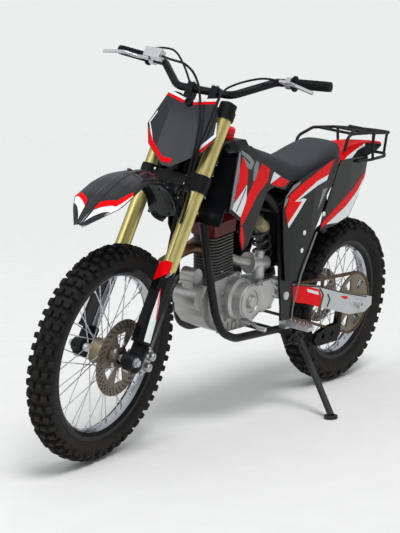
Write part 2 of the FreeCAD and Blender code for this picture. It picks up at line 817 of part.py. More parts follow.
def control_cable(label, points, radius):
    keep(bent_tube(label, points, radius, LARGEST, cord=True), label, STEERING)


# The frame and what it carries, drawn on the upright bike
def tube_pair(name, points, radius, bend_radius):
    """The same bent tube on both sides of the bike."""
    left = bent_tube(name + "Left", points, radius, bend_radius)
    right = bent_tube(name + "Right", mirrored_points(points), radius, bend_radius)
    return [left, right]


def main_frame():
    """Head tube, the two spars over the engine, the subframe and the upper shock mount."""
    low = along_axis(0, 0, 638)
    high = along_axis(0, 0, 826)
    head = rod("HeadTube", low, high, d.head_tube_radius)
    bore = rod("HeadBore", low - (high - low) * 0.1, high + (high - low) * 0.1, d.stem_radius + 1)
    spars = tube_pair("Spar", hose_points([
        (1040, 20, 955), (885, 62, 872), (700, 90, 812), (612, 104, 735), (598, 104, 640)]), d.frame_tube_radius, 90)
    cradle = tube_pair("DownTube", [
        along_axis(-12, 12, 676), along_axis(-80, 20, 640), v(985, 66, 620), v(938, 84, 430), v(900, 92, 352),
        v(828, 100, 322), v(545, 108, 316)], d.frame_tube_radius, 110)
    rails = tube_pair("Rail", hose_points([(640, 100, 768), (400, 78, 834), (150, 62, 870), (-14, 42, 896)]),
                      d.subframe_tube_radius, 90)
    stays = tube_pair("Stay", hose_points([(596, 104, 640), (380, 78, 742), (170, 62, 860)]),
                      d.subframe_tube_radius, 90)
    seat_posts = []
    for side in (-1, 1):
        seat_posts.append(rod(f"SeatPost{side}", v(400, side * 78, 836), v(400, side * 78, SEAT_BASE), 9))
    across = [
        rod("ShockBridge", SHOCK_TOP + v(0, -104, 0), SHOCK_TOP + v(0, 104, 0), 13),
        rod("SparBridge", v(760, -81, 831), v(760, 81, 831), 12),
        rod("RearBridge", v(100, -58, 877), v(100, 58, 877), 9),
        rod("LowBridge", v(600, -100, 316), v(600, 100, 316), 13),
    ]
    pivot_hole = rod("PivotHole", v(d.pivot_ahead, -140, d.pivot_height), v(d.pivot_ahead, 140, d.pivot_height),
                     d.pivot_radius + d.part_gap)
    plate = new_body("PivotPlate")
    inside = d.plate_inside
    pad(plate, outline(plate, "XZ_Plane", [
        (560, 735), (650, 742), (634, 640), (606, 500), (580, 400), (566, 300), (492, 300), (500, 400),
        (520, 500), (552, 620),
    ], -inside), d.plate_thickness, backwards=True)
    lug = rod("ShockLug", SHOCK_TOP + v(0, -16, 0), SHOCK_TOP + v(0, 16, 0), 24)
    pieces = [head, lug] + spars + cradle + rails + stays + across + seat_posts
    mirrored = doc.addObject("Part::Mirroring", "PivotPlateMirrored")
    mirrored.Source = plate
    mirrored.Normal = Vector(0, 1, 0)
    reach = float(d.stand_eye_half) + float(d.stand_side_gap)
    stand_lug = rod("StandLug", STAND_PIVOT - STAND_AXIS * (reach + 14), STAND_PIVOT - STAND_AXIS * reach, 17)
    stand_pin = rod("StandPin", STAND_PIVOT - STAND_AXIS * (reach + 5), STAND_PIVOT + STAND_AXIS * (reach + 5),
                    d.stand_pin_radius)
    stand_head = rod("StandPinHead", STAND_PIVOT + STAND_AXIS * reach, STAND_PIVOT + STAND_AXIS * (reach + 6), 10)
    stand_knee = Vector(514, 112, 258)
    stand_arm = rod("StandArm", v(548, 108, 316), stand_knee, 10)
    stand_reach = rod("StandReach", stand_knee, STAND_PIVOT - STAND_AXIS * (reach + 10), 9)
    stand_ball = doc.addObject("Part::Sphere", "StandKnee")
    stand_ball.Radius = 10.5
    stand_ball.Placement = Placement(stand_knee, Rotation())
    solid = fused("MainFrameSolid", pieces + [plate, mirrored, stand_lug, stand_arm, stand_reach, stand_ball, stand_pin, stand_head])
    keep(cut("MainFrame", solid, fused("MainFrameHoles", [bore, pivot_hole])), "main_frame", BIKE)


STAND_PIVOT = Vector(487, 146, 284)
STAND_DOWN = Vector(0.243, 0.660, -0.711).normalize()
STAND_UP = Vector(-0.984, 0.1, 0.15).normalize()
STAND_AXIS = STAND_DOWN.cross(STAND_UP).normalize()
STAND_LENGTH = 329
SEAT_BASE = 881.4
SHOCK_TOP = Vector(620, 0, 752)
SHOCK_LOW = Vector(498, 0, 424)


def side_stand():
    """The leg on its pivot pin, with a flat foot that meets the ground as the bike leans on it."""
    axis = STAND_AXIS
    reach = float(d.stand_eye_half)
    eye = rod("StandEye", STAND_PIVOT - axis * reach, STAND_PIVOT + axis * reach, 18)
    hole = rod("StandHole", STAND_PIVOT - axis * (reach + 5), STAND_PIVOT + axis * (reach + 5),
               d.stand_pin_radius + d.running_gap)
    foot_centre = STAND_PIVOT + STAND_DOWN * STAND_LENGTH
    leg = bent_tube("StandLeg", [
        STAND_PIVOT + STAND_DOWN * 8,
        STAND_PIVOT + STAND_DOWN * 150 + Vector(-16, -6, -4),
        foot_centre + Vector(0, 0, 8),
    ], d.stand_leg_radius, 120)
    ground_up = BIKE.Rotation.inverted().multVec(Vector(0, 0, 1))
    ground_point = BIKE.inverse().multVec(Vector(0, 0, 0))
    height = (foot_centre - ground_point).dot(ground_up)
    on_ground = foot_centre - ground_up * height
    foot = rod("StandFoot", on_ground, on_ground + ground_up * 9, d.stand_foot_radius)
    keep(cut("SideStand", fused("SideStandSolid", [eye, leg, foot]), hole), "side_stand", BIKE)


def swingarm():
    """Two tapering arms, the cross member ahead of the wheel, the pivot tube and the rear axle."""
    arm = new_body("SwingarmArm")
    ahead = d.pivot_ahead
    high = d.pivot_height
    inside = d.swingarm_inside
    pad(arm, outline(arm, "XZ_Plane", [
        (ahead + 18, high + 10), (ahead + 8, high + 22), (ahead - 80, high + 28), (300, 440), (120, 392),
        (-60, 352), (-104, 346), (-108, 312), (-60, 290), (60, 296), (240, 344), (420, 396),
        (ahead - 20, high - 24), (ahead + 12, high - 14),
    ], -inside), d.swingarm_thickness, backwards=True)
    mirrored = doc.addObject("Part::Mirroring", "SwingarmArmMirrored")
    mirrored.Source = arm
    mirrored.Normal = Vector(0, 1, 0)
    inner = float(inside) + 1
    cross = block("CrossMember", v(398, -69, 398), v(462, 69, 450))
    ribs = []
    for side in (-1, 1):
        ribs.append(block(f"CrossEnd{side}", v(398, min(side * 60, side * inner), 414), v(
            452, max(side * 60, side * inner), 448)))
    tube = rod("PivotTube", v(d.pivot_ahead, -inner, d.pivot_height), v(d.pivot_ahead, inner, d.pivot_height), 18)
    shaft = rod("PivotShaft", v(d.pivot_ahead, -124, d.pivot_height), v(d.pivot_ahead, 124, d.pivot_height),
                d.pivot_radius)
    axle_height = d.rear_tyre_radius
    reach = d.axle_half_length
    axle = rod("RearSpindle", v(0, -reach, axle_height), v(0, reach, axle_height), d.axle_radius)
    left = rod("RearSpacerLeft", v(0, 86, axle_height), v(0, inner, axle_height), 15)
    right = rod("RearSpacerRight", v(0, -inner, axle_height), v(0, -72, axle_height), 15)
    nut = rod("RearNut", v(0, 107, axle_height), v(0, reach, axle_height), 17)
    lug = rod("LowShockLug", SHOCK_LOW + v(0, -20, 0), SHOCK_LOW + v(0, 20, 0), 20)
    link = block("LowShockArm", v(450, -18, 408), v(495, 18, 440))
    group = fused("SwingarmSolid", [arm, mirrored, cross, tube, shaft, axle, left, right, nut, lug, link] + ribs)
    bore = rod("RearBore", v(0, -reach - 2, axle_height), v(0, reach + 2, axle_height), d.spindle_bore_radius)
    keep(cut("Swingarm", group, bore), "swingarm", BIKE)


def shock():
    """Damper body, coil spring between two collars, and the reservoir beside its head."""
    top = SHOCK_TOP
    low = SHOCK_LOW
    down = (low - top).normalize()
    head = rod("ShockHead", top + down * 20, top + down * 66, 21)
    body = rod("ShockBody", top + down * 60, top + down * 210, 20)
    shaft = rod("ShockShaft", top + down * 200, low - down * 10, 9)
    collar = rod("ShockCollar", top + down * 66, top + down * 74, 38)
    seat = rod("ShockSeat", low - down * 82, low - down * 74, 38)
    fork = rod("ShockFoot", low - down * 78, low - down * 10, 13)
    spring_low = low - down * 81
    spring_length = (top + down * 73 - spring_low).Length
    coil = doc.addObject("Part::Helix", "SpringCoil")
    coil.Pitch = spring_length / float(d.spring_coils)
    coil.Height = spring_length
    hold(coil, "Radius", d.spring_radius - d.spring_wire)
    wire = doc.addObject("Part::Circle", "SpringWire")
    hold(wire, "Radius", d.spring_wire)
    wire.Placement = Placement(v(d.spring_radius - d.spring_wire, 0, 0), Rotation(Vector(1, 0, 0), 90))
    spring = doc.addObject("Part::Sweep", "Spring")
    spring.Sections = [wire]
    spring.Spine = (coil, ["Edge1"])
    spring.Solid = True
    spring.Frenet = True
    spring.Placement = Placement(spring_low, Rotation(Vector(0, 0, 1), down * -1))
    eyes = fused("ShockEyes", [
        rod("ShockEyeTop", top + v(0, -30, 0), top + v(0, 30, 0), as_size(24) + d.part_gap),
        rod("ShockEyeLow", low + v(0, -30, 0), low + v(0, 30, 0), as_size(20) + d.part_gap)])
    keep(cut("Shock", fused("ShockSolid", [head, body, shaft, collar, seat, fork, spring]), eyes), "shock", BIKE)
    canister = rod("Reservoir", v(700, 64, 716), v(640, 52, 690), 21)
    hose = rod("ReservoirHose", v(646, 53, 693), v(607, 14, 706), 7)
    trimmed = cut("ReservoirTrimmed", fused("ReservoirSolid", [canister, hose]),
                  rod("ReservoirTrim", top + down * 10, top + down * 66, 21.3))
    keep(trimmed, "shock_reservoir", BIKE)


CYLINDER = Placement(Vector(846, -2, 536), Rotation(Vector(0, 1, 0), 8))


def around_fins(name):
    """A box a hair larger than the finned barrel, to trim what meets it."""
    low = v(-62 - d.part_gap, -52 - d.part_gap, 0)
    box = block(name, low, v(62 + d.part_gap, 52 + d.part_gap, d.fin_pitch * d.fin_count + 10))
    box.Placement = CYLINDER * Placement(low, Rotation())
    return box


def cylinder():
    """The barrel with its cooling fins, leaning a little forwards on the crankcase."""
    body = new_body("cylinder")
    corner = 16
    pad(body, outline(body, "XY_Plane", [
        (-44, -28), (-32, -40), (32, -40), (44, -28), (44, 28), (32, 40), (-32, 40), (-44, 28),
    ]), d.fin_pitch * d.fin_count + 10)
    fin_sketch = outline(body, "XY_Plane", [
        (-62, -52 + corner), (-62 + corner, -52), (62 - corner, -52), (62, -52 + corner),
        (62, 52 - corner), (62 - corner, 52), (-62 + corner, 52), (-62, 52 - corner),
    ], 12)
    fin = pad(body, fin_sketch, d.fin_thickness)
    pattern = body.newObject("PartDesign::LinearPattern", "Fins")
    pattern.Originals = [fin]
    pattern.Direction = (fin_sketch, ["N_Axis"])
    count = int(float(d.fin_count))
    pattern.Length = float(d.fin_pitch) * (count - 1)
    pattern.Occurrences = count
    body.Tip = pattern
    keep(body, "cylinder", BIKE * CYLINDER)


def head_cover():
    """The painted cover over the valve gear, with a bevelled top."""
    body = new_body("head_cover")
    low = float(d.fin_pitch * d.fin_count) + 10 + float(d.part_gap)
    loft(body, [
        (low, [(-58, -50), (58, -50), (66, 0), (58, 50), (-58, 50), (-62, 0)]),
        (low + 46, [(-60, -54), (64, -54), (72, 0), (64, 54), (-60, 54), (-64, 0)]),
        (low + 66, [(-42, -36), (46, -36), (52, 0), (46, 36), (-42, 36), (-46, 0)]),
    ], role="XY_Plane")
    keep(body, "head_cover", BIKE * CYLINDER)


def engine():
    """Crankcase with its mounts, the round left cover, the sprocket cover and the right covers."""
    case = new_body("CaseBody")
    half = d.engine_half_width
    pad(case, outline(case, "XZ_Plane", [
        (640, 372), (700, 338), (850, 336), (930, 368), (972, 408), (982, 470), (960, 516), (903, 527.4),
        (788, 543.6), (745, 512), (700, 494), (640, 490), (604, 470), (608, 410),
    ]), half * 2, both_ways=True)
    bevel = rod("CaseDrum", v(800, -half - 26, 450), v(800, half, 450), 84)
    clutch = rod("ClutchDrum", v(700, -half - 22, 440), v(700, -half + 1, 440), 62)
    snout = rod("CaseSnout", v(968, -half + 14, 470), v(968, half - 14, 470), 40)
    boss = rod("CaseBoss", v(976, -28, 546), v(976, 28, 546), 26)
    boss_web = block("BossWeb", v(940, -22, 500), v(992, 22, 548))
    front_sprocket = rod("FrontSprocket", v(d.sprocket_ahead, half - 1, d.sprocket_height), v(
        d.sprocket_ahead, d.chain_left + 5, d.sprocket_height),
        pitch_radius(d.front_teeth) - float(d.chain_half_height) - float(d.part_gap))
    kick = rod("KickShaft", v(668, -half - 40, 392), v(668, -half, 392), 10)
    shift = rod("ShiftShaft", v(742, half - 1, 372), v(742, half + 40, 372), 7)
    solid = fused("EngineCase", [case, bevel, clutch, snout, boss, boss_web, front_sprocket, kick, shift])
    keep(solid, "engine_case", BIKE)

    cover = new_body("RoundCover")
    start = half + d.part_gap
    radius = d.round_cover_radius
    turn(cover, outline(cover, "YZ_Plane", [
        (start, 0), (start, radius + 10), (half + 26, radius + 10), (half + 34, radius),
        (half + 66, radius - 4), (half + 74, radius - 12), (half + 74, radius - 24), (half + 70, radius - 26),
        (half + 70, 22), (half + 78, 20), (half + 78, 0),
    ]))
    cover.Placement = Placement(Vector(795, 0, 455), Rotation())
    guard = new_body("SprocketCover")
    pad(guard, outline(guard, "XZ_Plane", [
        (604, 440), (600, 478), (628, 508), (700, 506), (735, 480), (735, 410), (690, 396), (630, 402),
    ], -(d.chain_left + 12)), 14, backwards=True)
    post = rod("CoverPost", v(722, half + d.part_gap, 430), v(722, d.chain_left + 14, 430), 10)
    high_post = rod("CoverPostHigh", v(724, half + d.part_gap, 478), v(724, d.chain_left + 14, 478), 9)
    keep(fused("EngineCovers", [cover, guard, post, high_post]), "engine_covers", BIKE)


def carburettor():
    """Body across the intake, float bowl, slide cap and the round flange towards the engine."""
    body = rod("CarbBody", v(618, 60, 560), v(708, 44, 566), 24)
    bowl = rod("CarbBowl", v(655, 54, 505.5), v(655, 54, 560), 23)
    cap = rod("CarbCap", v(655, 54, 560), v(655, 54, 606), 17)
    flange = rod("CarbFlange", v(700, 45.5, 565.5), v(710, 43.5, 566), 38)
    neck = bent_tube("CarbNeck", hose_points([(704, 44, 566), (745, 24, 574), (781, 2, 590)]), 17, 40)
    fins = around_fins("CarbTrimFins")
    solid = fused("CarbSolid", [body, bowl, cap, flange, neck])
    keep(cut("Carburettor", solid, fins), "carburettor", BIKE)


def airbox():
    """The filter box under the seat with the boot to the carburettor and the splash guard."""
    box = loft_block("AirBoxShell", [
        (300, 46, 690, 790), (360, 62, 560, 800), (470, 64, 520, 800), (500, 56, 560, 790)])
    boot = bent_tube("AirBoot", hose_points([(617.7, 60.05, 559.98), (588, 65.3, 558), (490, 56, 592)]), 19, 60)
    keep(fused("Airbox", [box, boot]), "airbox", BIKE)


def loft_block(name, stations):
    """A body through rectangles: distance ahead, half width, lowest and highest height."""
    body = new_body(name)
    loft(body, [
        (ahead, [(-half, low), (half, low), (half, high), (-half, high)])
        for ahead, half, low, high in stations
    ])
    return body


def exhaust():
    """The header round the right side of the engine and the silencer under the tail."""
    pipe = bent_tube("Header", hose_points([
        (916, -2, 622), (968, -8, 640), (1026, -40, 610), (1010, -112, 566), (900, -146, 560), (700, -150, 640),
        (520, -156, 694), (396, -162, 713),
    ]), 18, 60)
    can = new_body("Silencer")
    turn(can, outline(can, "XZ_Plane", [
        (0, 0), (19, 0), (38, 46), (42, 60), (42, 330), (34, 356), (16, 362), (16, 350), (0, 350),
    ]), "V_Axis")
    can.Placement = Placement(Vector(400, -162, 712), Rotation(Vector(0, 0, 1), Vector(-0.96, 0.02, 0.27)))
    solid = fused("ExhaustSolid", [pipe, can])
    fins = around_fins("ExhaustTrimFins")
    keep(cut("Exhaust", solid, fins), "exhaust", BIKE)


def fuel_tank():
    """The tank over the spars, narrow at its neck and low under the seat's nose."""
    body = new_body("fuel_tank")
    stations = [
        (660, 66, 840, 856), (740, 84, 862, 890), (790, 92, 884, 962), (812, 96, 894, 1006), (880, 98, 914, 1006),
        (908, 88, 930, 996), (924, 70, 946, 980),
    ]
    loft(body, [
        (ahead, [(-half, low), (half, low), (half, low + (high - low) * 0.6), (half * 0.62, high),
                 (-half * 0.62, high), (-half, low + (high - low) * 0.6)])
        for ahead, half, low, high in stations
    ])
    keep(body, "fuel_tank", BIKE)
    cap = new_body("TankCap")
    turn(cap, outline(cap, "XZ_Plane", [
        (0, 0), (24, 0), (24, 14), (d.cap_radius, 15), (d.cap_radius, 30), (20, 37), (0, 38)]), "V_Axis")
    keep(cap, "tank_cap", BIKE * Placement(Vector(840, 0, 1006 + float(d.part_gap)), Rotation()))


def panel_pair(label, strip, side_view, base_low, base_high):
    """A curved panel and its mirror image: a strip seen from above, trimmed to an outline seen from the side."""
    from_above = new_body(label + "Strip")
    pad(from_above, outline(from_above, "XY_Plane", strip, base_low), base_high - base_low)
    from_side = new_body(label + "Outline")
    pad(from_side, outline(from_side, "XZ_Plane", side_view, -10), 260, backwards=True)
    panel = shared(label + "Panel", [from_above, from_side])
    return panel


def strip_of(points, thickness):
    """A wall of even thickness along points seen from above, given on its outer face."""
    inner = [(x, y - thickness) for x, y in reversed(points)]
    return points + inner


def shrouds():
    """Wings beside the tank: a wide front that leads air in, tapering back to the side panels."""
    outer = panel_pair("ShroudWing", strip_of([
        (580, 116), (640, 124), (760, 136), (860, 146), (940, 153), (1030, 158)], 5),
        [(596, 862), (606, 840), (650, 834), (720, 850), (768, 838), (868, 664), (905, 648), (930, 690),
         (936, 752), (1012, 790), (985, 985), (948, 1003), (905, 1000), (840, 965), (774, 932), (700, 893),
         (640, 872)], 600, 1040)
    face = block("ShroudFace", v(-97, 59, 508), v(-91, 150, 746))
    face.Placement = RAKED * face.Placement
    boss = rod("ShroudBoss", v(880, as_size(98) + d.part_gap, 930), v(880, 145, 930), 8)
    keep(both_sides("Shrouds", fused("Shroud", [outer, face, boss])), "shrouds", BIKE)


def seat():
    """The long saddle: a low middle, a nose up the tank and a kick up to the tail."""
    body = new_body("seat")
    stations = [
        (190, 62, 944, 962), (206, 78, 932, 978), (250, 90, 924, 984), (300, 96, 908, 972), (350, 100, 896, 957),
        (400, 102, 884, 940), (450, 104, 872, 925), (500, 104, 860, 917), (550, 102, 854, 926),
        (600, 96, 856.3, 942), (660, 86, 856.3, 958), (740, 70, 890.3, 978), (780, 54, 947.9, 990),
    ]
    loft(body, [
        (ahead, [(-half, low), (half, low), (half, low + (high - low) * 0.66), (half * 0.7, high - 3),
                 (half * 0.25, high), (-half * 0.25, high), (-half * 0.7, high - 3), (-half, low + (high - low) * 0.66)])
        for ahead, half, low, high in stations
    ])
    keep(body, "seat", BIKE)


def side_panels():
    """Number panels under the seat with the dark lower cover behind the pivot plates."""
    strip = strip_of([(250, 109), (330, 114), (440, 124), (560, 128), (668, 128)], 5)
    panel = panel_pair("SidePanel", strip, [
        (600, 840), (560, 858), (458, 888), (340, 918), (262, 934), (296, 836), (340, 790), (372, 720), (420, 652), (455, 560), (480, 486),
        (585, 500), (612, 600), (634, 700), (646, 760), (640, 806), (606, 828)], 400, 960)
    boss = rod("SidePanelBoss", v(605, as_size(104) + d.frame_tube_radius + d.part_gap, 690), v(605, 125, 690), 8)
    keep(both_sides("SidePanels", fused("SidePanel", [panel, boss])), "side_panels", BIKE)


def tail():
    """The rear fender over the wheel with the deep side walls that follow the tyre."""
    roof = new_body("TailRoof")
    stations = [
        (-214, 14, 940, 954), (-120, 44, 926, 962), (-20, 62, 912, 966), (80, 76, 904, 962), (182, 83, 904, 940),
        (200, 86, 902, 926), (236, 90, 896, 912),
    ]
    loft(roof, [
        (ahead, [(-half, low), (-half * 0.72, high - 3), (0, high), (half * 0.72, high - 3), (half, low),
                 (half - 4, low), (half * 0.70 - 2, high - 7), (0, high - 4), (2 - half * 0.70, high - 7), (4 - half, low)])
        for ahead, half, low, high in stations
    ])
    wall = panel_pair("TailWall", strip_of([
        (-60, 60), (30, 74), (130, 86), (260, 98), (300, 101), (360, 104)], 5), [
        (226, 912), (60, 916), (-24, 912), (-12, 846), (40, 762), (110, 686), (205, 668), (345, 655),
        (326, 716), (292, 790), (268, 832), (250, 880)], 600, 960)
    mirrored = doc.addObject("Part::Mirroring", "TailWallMirrored")
    mirrored.Source = wall
    mirrored.Normal = Vector(0, 1, 0)
    bridge = block("TailBridge", v(-13, -64, 906.3), v(4, 64, 918))
    group = fused("Tail", [roof, wall, mirrored, bridge])
    keep(group, "tail", BIKE)


def rack():
    """A carrier of bent tube over the tail, on two pairs of legs."""
    r = d.rack_tube_radius
    hoop = bent_tube("RackHoop", hose_points([
        (174, 72, 939), (160, 74, 1004), (20, 80, 1006), (-150, 72, 1000), (-222, 34, 996), (-222, -34, 996),
        (-150, -76, 1000), (0, -90, 1008), (150, -92, 1010), (236, -103.4, 978), (250, -103.4, 904)]), r, 40)
    low = bent_tube("RackLow", hose_points([
        (96, 88.4, 900), (-20, 80, 900), (-150, 66, 906), (-214, 32, 910), (-214, -32, 910), (-150, -66, 906),
        (-20, -80, 900), (96, -88.4, 900)]), r, 40)
    pieces = [hoop, low]
    for number, (ahead, half) in enumerate([(140, 76), (30, 80), (-80, 76)]):
        pieces.append(rod(f"RackBar{number}", v(ahead, half, 1006), v(ahead - 36, -half - 12, 1008), r - 0.5))
    pieces.append(bent_tube("RackMiddle", hose_points([(130, 66, 1006), (20, 20, 1008), (-222, 0, 996)]), r - 0.5, 60))
    for side in (-1, 1):
        pieces.append(rod(f"RackLeg{side}", v(-16, side * 81, 1005), v(-36, side * 79, 900), r - 0.5))
        pieces.append(rod(f"RackTip{side}", v(-222, side * 28, 996), v(-214, side * 28, 910), r - 0.5))
    keep(fused("Rack", pieces), "rack", BIKE)


def chain():
    """The drive chain as one flat loop round both sprockets."""
    front = pitch_radius(d.front_teeth)
    rear = pitch_radius(d.rear_teeth)
    centre_front = Vector(float(d.sprocket_ahead), 0, float(d.sprocket_height))
    centre_rear = Vector(0, 0, float(d.rear_tyre_radius))
    half = float(d.chain_half_height)
    loops = [belt(centre_rear, rear + half, centre_front, front + half),
             belt(centre_rear, rear - half, centre_front, front - half)]
    face = Part.Face(loops[0]).cut(Part.Face(loops[1]))
    width = float(d.chain_width)
    face.translate(Vector(0, float(d.chain_left) - width / 2, 0))
    loop = doc.addObject("Part::Feature", "ChainLoop")
    loop.Shape = face.extrude(Vector(0, width, 0))
    keep(loop, "chain", BIKE)


def belt(rear_centre, rear_radius, front_centre, front_radius):
    """The outline of a belt pulled tight round two circles in the bike's side view."""
    across = front_centre - rear_centre
    tilt = math.atan2(across.z, across.x)
    spread = math.acos((rear_radius - front_radius) / across.Length)

    def on(centre, radius, angle):
        return centre + Vector(radius * math.cos(angle), 0, radius * math.sin(angle))

    high, low = tilt + spread, tilt - spread
    edges = [
        Part.LineSegment(on(rear_centre, rear_radius, high), on(front_centre, front_radius, high)),
        Part.Arc(on(front_centre, front_radius, high), on(front_centre, front_radius, tilt),
                 on(front_centre, front_radius, low)),
        Part.LineSegment(on(front_centre, front_radius, low), on(rear_centre, rear_radius, low)),
        Part.Arc(on(rear_centre, rear_radius, low), on(rear_centre, rear_radius, tilt + math.pi),
                 on(rear_centre, rear_radius, high)),
    ]
    return Part.Wire([edge.toShape() for edge in edges])


def chain_guide():
    """The plates under the left arm that keep the chain in line, joined by a block below it."""
    ahead = 178
    side_view = [
        (-92, 318), (-70, 322), (-64, 262), (20, 258), (78, 240), (92, 214), (70, 194), (-52, 190), (-96, 212),
    ]
    plates = []
    for name, low in (("GuideOuter", d.chain_left + 6.5), ("GuideInner", d.chain_left - 9.5)):
        plate = new_body(name)
        pad(plate, outline(plate, "XZ_Plane", [(ahead + x, z) for x, z in side_view], -low), 3, backwards=True)
        plates.append(plate)
    floor = block("GuideFloor", v(ahead - 80, d.chain_left - 9.5, 191), v(ahead + 60, d.chain_left + 9.5, 202))
    holes = [rod(f"GuideHole{x}", v(ahead + x, 60, 226), v(ahead + x, 95, 226), 11) for x in (-34, 32)]
    keep(cut("ChainGuide", fused("GuideSolid", plates + [floor]), fused("GuideHoles", holes)), "chain_guide", BIKE)


def foot_pegs():
    """Toothed pegs on brackets outside the pivot plates."""
    outer = float(d.plate_inside + d.plate_thickness + d.part_gap)
    length = float(d.peg_length)
    deck = block("PegDeck", v(548, outer + 16, 340), v(592, outer + 16 + length, 354))
    arm = block("PegArm", v(556, outer, 328), v(584, outer + 30, 352))
    pieces = [deck, arm]
    for number in range(6):
        for edge in (0, 1):
            low = v(548 + edge * 38, outer + 22 + number * 18, 353)
            pieces.append(block(f"PegTooth{number}{edge}", low, low + Vector(6, 9, 7)))
    hole = block("PegWindow", v(558, outer + 36, 330), v(582, outer + 10 + length, 370))
    keep(both_sides("FootPegs", cut("FootPeg", fused("PegSolid", pieces), hole)), "foot_pegs", BIKE)


def foot_controls():
    """Gear lever on the left, brake pedal and kick starter on the right, each on its own shaft."""
    half = float(d.engine_half_width)
    gear = bent_tube("GearLever", hose_points([(742, half + 30, 372), (760, 150, 360), (800, 176, 372)]), 6, 30)
    gear_boss = rod("GearBoss", v(742, half + 20, 372), v(742, half + 40, 372), 13)
    gear_toe = rod("GearToe", v(800, 172, 372), v(800, 204, 372), 8)
    shaft = rod("ShiftTrim", v(742, half - 4, 372), v(742, half + 60, 372), 7.05)
    gear_lever = cut("GearLeverCut", fused("GearLeverSolid", [gear, gear_boss, gear_toe]), shaft)
    kick_boss = rod("KickBoss", v(668, -half - 30, 392), v(668, -half - 46, 392), 17)
    kick_arm = bent_tube("KickArm", hose_points([(668, -half - 38, 392), (624, -142, 470), (584, -148, 600)]), 8, 50)
    kick_toe = rod("KickToe", v(585, -142, 594), v(585, -206, 594), 9.5)
    kick_hole = rod("KickTrim", v(668, -half - 60, 392), v(668, -half, 392), 10.05)
    kick = cut("KickStarterCut", fused("KickSolid", [kick_boss, kick_arm, kick_toe]), kick_hole)
    pedal = bent_tube("BrakePedal", hose_points([(545, -137, 388), (670, -146, 344), (760, -150, 356)]), 8, 60)
    pedal_boss = rod("PedalBoss", v(545, -118.4, 388), v(545, -148, 388), 13)
    pedal_toe = block("PedalToe", v(746, -176, 344), v(786, -139, 367))
    brake = fused("BrakePedalSolid", [pedal, pedal_boss, pedal_toe])
    group = doc.addObject("Part::Compound", "FootControls")
    group.Links = [gear_lever, kick, brake]
    keep(group, "foot_controls", BIKE)


def rear_caliper():
    """The rear caliper on the right, ahead of the axle and inside the arm."""
    middle = -float(d.rear_disc_right)
    solid = block("RearCaliperSolid", v(72, middle - 21, 318), v(132, middle + 16, 386))
    slot = block("RearCaliperSlot", v(60, middle - 4.5, 300), v(126, middle + 4.5, 400))
    keep(cut("RearCaliper", solid, slot), "rear_caliper", BIKE)


def vent_hose():
    """The thin breather tube down the left side."""
    points = hose_points([(398, 124, 660), (428, 127, 614), (460, 130, 562), (490, 131, 508), (502, 129, 450),
                          (506, 121.4, 400), (508, 121.4, 350)])
    keep(bent_tube("VentHose", points, 3, LARGEST, cord=True), "vent_hose", BIKE)


def controls():
    """Clutch and throttle cables from the bar: one down over the plate, one behind it."""
    control_cable("clutch_cable", hose_points([
        (25.6, 254.1, 994.3), (33, 190, 995), (46, 122, 962), (98, 100, 908), (110, 98, 845), (110, 100, 780),
        (108, 94, 712), (96, 92, 645), (80, 98, 588), (68, 103, 524), (60, 98, 460)]), 3.5)
    control_cable("throttle_cable", hose_points([
        (20, -266, 1032), (34, -214, 1037), (66, -144, 1024), (80, -82, 972), (82, -26, 902), (76, -8, 834),
        (70, -10, 764)]), 3.5)


def build():
    front_wheel()
    rear_wheel()
    fork_outer_tubes()
    fork_sliders()
    front_axle()
    upper_clamp()
    lower_clamp()
    fork_guards()
    front_fender()
    number_plate()
    handlebar()
    grips()
    clutch_lever()
    brake_lever()
    front_caliper()
    brake_hose()
    main_frame()
    side_stand()
    swingarm()
    shock()
    cylinder()
    head_cover()
    engine()
    carburettor()
    airbox()
    exhaust()
    fuel_tank()
    shrouds()
    seat()
    side_panels()
    tail()
    rack()
    chain()
    chain_guide()
    foot_pegs()
    foot_controls()
    rear_caliper()
    vent_hose()
    controls()


build()
doc.recompute()
faults = []
for item in doc.Objects:
    if {"Invalid", "Error"} & set(item.State):
        faults.append(f"{item.Name} ({item.Label}): {item.State}")
    shape = getattr(item, "Shape", None)
    if shape is not None and item.TypeId != "App::Origin" and "Sketch" not in item.TypeId:
        if shape.isNull() and item in nodes.values():
            faults.append(f"{item.Label}: no shape")
for label, piece in nodes.items():
    if piece.Shape.isNull() or not piece.Shape.isValid():
        faults.append(f"{label}: shape not valid")
if faults:
    raise RuntimeError("\n".join(faults))

os.makedirs("parts", exist_ok=True)
for label, piece in nodes.items():
    piece.Shape.exportStep(f"parts/{label}.step")
print(f"{len(nodes)} parts written")
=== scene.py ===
import math

import bpy
import numpy as np
from bpy.props import FloatProperty, FloatVectorProperty, IntProperty, PointerProperty
from mathutils import Matrix, Vector
from mathutils.bvhtree import BVHTree


